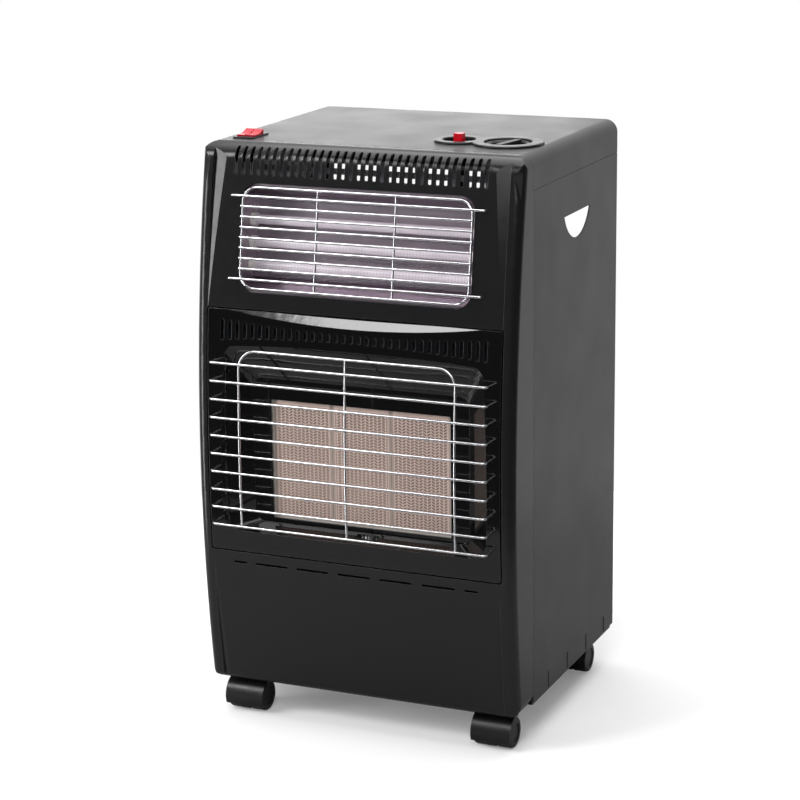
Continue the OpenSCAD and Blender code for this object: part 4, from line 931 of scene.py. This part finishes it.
@dataclass
class Studio:
    """Pale floor, white surroundings and the softboxes.

    Attributes:
        floor_shade: second tone of the paper, in faint patches.
        floor_lift: white that the camera alone sees on the paper, so that shadows stay soft.
        mirrored_dark: how much darker the paper is in reflections.
        towards_camera: degrees round from the front to the side that stays dim.
        white_rise: how far the white surroundings lean over the heater.
        white_turn: facing at which they begin and at which they are full.
        dark_side: brightness on the dim side.
        bright_side: brightness of the white side.
    """

    floor_radius: float = 0.95
    floor_segments: int = 64
    floor_colour: str = "#e6e6e6"
    floor_shade: str = "#c8c8c8"
    paper_patch_mm: float = 900.0
    paper_patch_share: float = 0.05
    paper_roughness: float = 0.5
    floor_lift: float = 0.18
    mirrored_dark: float = 0.52
    towards_camera: float = 23.5
    white_rise: float = 0.35
    white_turn: tuple[float, float] = (-0.1, 1.04)
    dark_side: float = 0.1
    bright_side: float = 1.0
    # Azimuth, elevation, distance, width, height and glow of each lamp. The strip streaks the
    # left edges, the key lights the front and its crescent, the fill opens the recesses, and
    # the last two draw the top and the back.
    lamps: Sequence[Softbox] = (
        Softbox("strip_softbox", -54.0, 6.0, 2.6, 0.55, 2.6, 11.0),
        Softbox("key_softbox", -35.9, 38.2, 6.0, 1.15, 1.6, 16.0),
        Softbox("fill_softbox", 16.0, 32.0, 3.0, 1.5, 1.5, 4.0),
        Softbox("top_softbox", 180.0, 84.0, 2.4, 2.6, 2.6, 3.7),
        Softbox("back_softbox", -149.0, 13.9, 1.6, 1.1, 0.33, 3.3),
    )

    def build(self) -> None:
        """Lays the floor, sets the world and hangs the lamps."""
        self.floor()
        self.world()
        for lamp in self.lamps:
            lamp.hang()
        LOG.info("studio: floor, world and %d lamps", len(self.lamps))

    def floor(self) -> bpy.types.Object:
        """Lays a round sheet of paper that keeps the heater's shadow.

        Returns:
            The floor.
        """
        bm = bmesh.new()
        bmesh.ops.create_circle(bm, cap_ends=True, segments=self.floor_segments,
                                radius=self.floor_radius)
        data = bpy.data.meshes.new("floor")
        bm.to_mesh(data)
        bm.free()
        data.materials.append(self.paper())
        sheet = bpy.data.objects.new("floor", data)
        bpy.context.scene.collection.objects.link(sheet)
        sheet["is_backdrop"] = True
        return sheet

    def paper(self) -> bpy.types.Material:
        """Makes the paper: matt, calendered, with a hardly visible cloudiness.

        Returns:
            Its material.
        """
        made = bpy.data.materials.new("pale_paper")
        made.use_nodes = True
        tree = made.node_tree
        tree.nodes.clear()
        place = add_node(tree, "TexCoord", out="Object")
        cloud = add_node(tree, "TexNoise", sized(place, self.paper_patch_mm), "Fac")
        tone = (cloud, NOISE_LOW, NOISE_HIGH, 0.0, self.paper_patch_share)
        tone = add_node(tree, "MapRange", tone, 0)
        ends = {SHARE: tone, FIRST: srgb(self.floor_colour), SECOND: srgb(self.floor_shade)}
        paper = add_node(tree, "Mix", ends, MIXED, data_type="RGBA")
        path = add_node(tree, "LightPath").outputs
        shade = (path["Is Glossy Ray"], self.mirrored_dark)
        shade = add_node(tree, "Math", shade, 0, operation="MULTIPLY")
        ends = {SHARE: shade, FIRST: paper, SECOND: srgb(BLACK)}
        paper = add_node(tree, "Mix", ends, MIXED, data_type="RGBA")
        matt = {"Color": paper, "Roughness": self.paper_roughness}
        matt = add_node(tree, "BsdfDiffuse", matt, 0)
        lift = (path["Is Camera Ray"], self.floor_lift)
        lift = add_node(tree, "Math", lift, 0, operation="MULTIPLY")
        white = add_node(tree, "Emission", {"Color": srgb(WHITE), "Strength": lift}, 0)
        both = add_node(tree, "AddShader", (matt, white), 0)
        add_node(tree, "OutputMaterial", {"Surface": both})
        return made

    def world(self) -> None:
        """Sets white behind the heater and above it, dim on the side where the camera stands."""
        world = bpy.data.worlds.new("white_studio")
        world.use_nodes = True
        bpy.context.scene.world = world
        tree = world.node_tree
        tree.nodes.clear()
        seen = add_node(tree, "LightPath", out="Is Camera Ray")
        ray = add_node(tree, "TexCoord", out="Generated")
        turn = math.radians(self.towards_camera)
        away = (-math.sin(turn), math.cos(turn), self.white_rise)
        facing = add_node(tree, "VectorMath", (ray, away), "Value", operation="DOT_PRODUCT")
        level = (facing, *self.white_turn, self.dark_side, self.bright_side)
        level = add_node(tree, "MapRange", level, 0)
        level = add_node(tree, "Math", (level, seen), 0, operation="MAXIMUM")
        glow = add_node(tree, "Background", {"Color": srgb(WHITE), "Strength": level}, 0)
        add_node(tree, "OutputWorld", {"Surface": glow})


@dataclass(frozen=True)
class Shot:
    """The camera: it stands front right of the heater and looks down a little.

    Attributes:
        azimuth: degrees round from the front.
        elevation: degrees up.
        roll: degrees that the camera is tilted sideways.
        aim: the point it looks at before the shifts, in metres.
        right_shift: metres that the heater stands right of the middle.
        up_shift: metres that it stands above the middle.
        lens: focal length in millimetres.
        sensor: width of the sensor in millimetres.
        far: metres beyond which nothing is drawn.
    """

    azimuth: float = 23.52
    elevation: float = 14.66
    roll: float = -0.74
    aim: tuple[float, float, float] = (0.0, 0.043, 0.365)
    right_shift: float = 0.0276
    up_shift: float = -0.01767
    distance: float = 3.11282
    lens: float = 108.66
    sensor: float = 36.0
    far: float = 60.0

    def build(self) -> bpy.types.Object:
        """Places the camera and makes it the scene's own.

        Returns:
            The camera.
        """
        a, r = math.radians(self.azimuth), math.radians(self.roll)
        back = towards(self.azimuth, self.elevation)
        right = Vector((math.cos(a), math.sin(a), 0.0))
        up = back.cross(right)
        across = math.cos(r) * right + math.sin(r) * up
        above = math.cos(r) * up - math.sin(r) * right
        optics = bpy.data.cameras.new("camera")
        optics.lens = self.lens
        optics.sensor_width = self.sensor
        optics.clip_end = self.far
        camera = bpy.data.objects.new("camera", optics)
        camera.location = (Vector(self.aim) - self.right_shift * across - self.up_shift * above
                           + self.distance * back)
        camera.rotation_euler = Matrix((across, above, back)).transposed().to_euler()
        bpy.context.scene.collection.objects.link(camera)
        bpy.context.scene.camera = camera
        return camera


def main(cad: tuple[Vector, Vector]) -> None:
    """Builds the heater and its studio, piece by piece.

    Args:
        cad: the box of the CAD model; not used.
    """
    logging.basicConfig(level=logging.INFO, format="%(message)s")
    bpy.context.scene.view_settings.view_transform = "Standard"
    Shot().build()
    Studio().build()
    for part in (Cabinet(), Front(), ElectricHeater(), GasBurner(), Controls(), Castors()):
        LOG.info("-- %s", type(part).__name__)
        part.build()


if __name__ == "__main__":
    main(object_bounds())
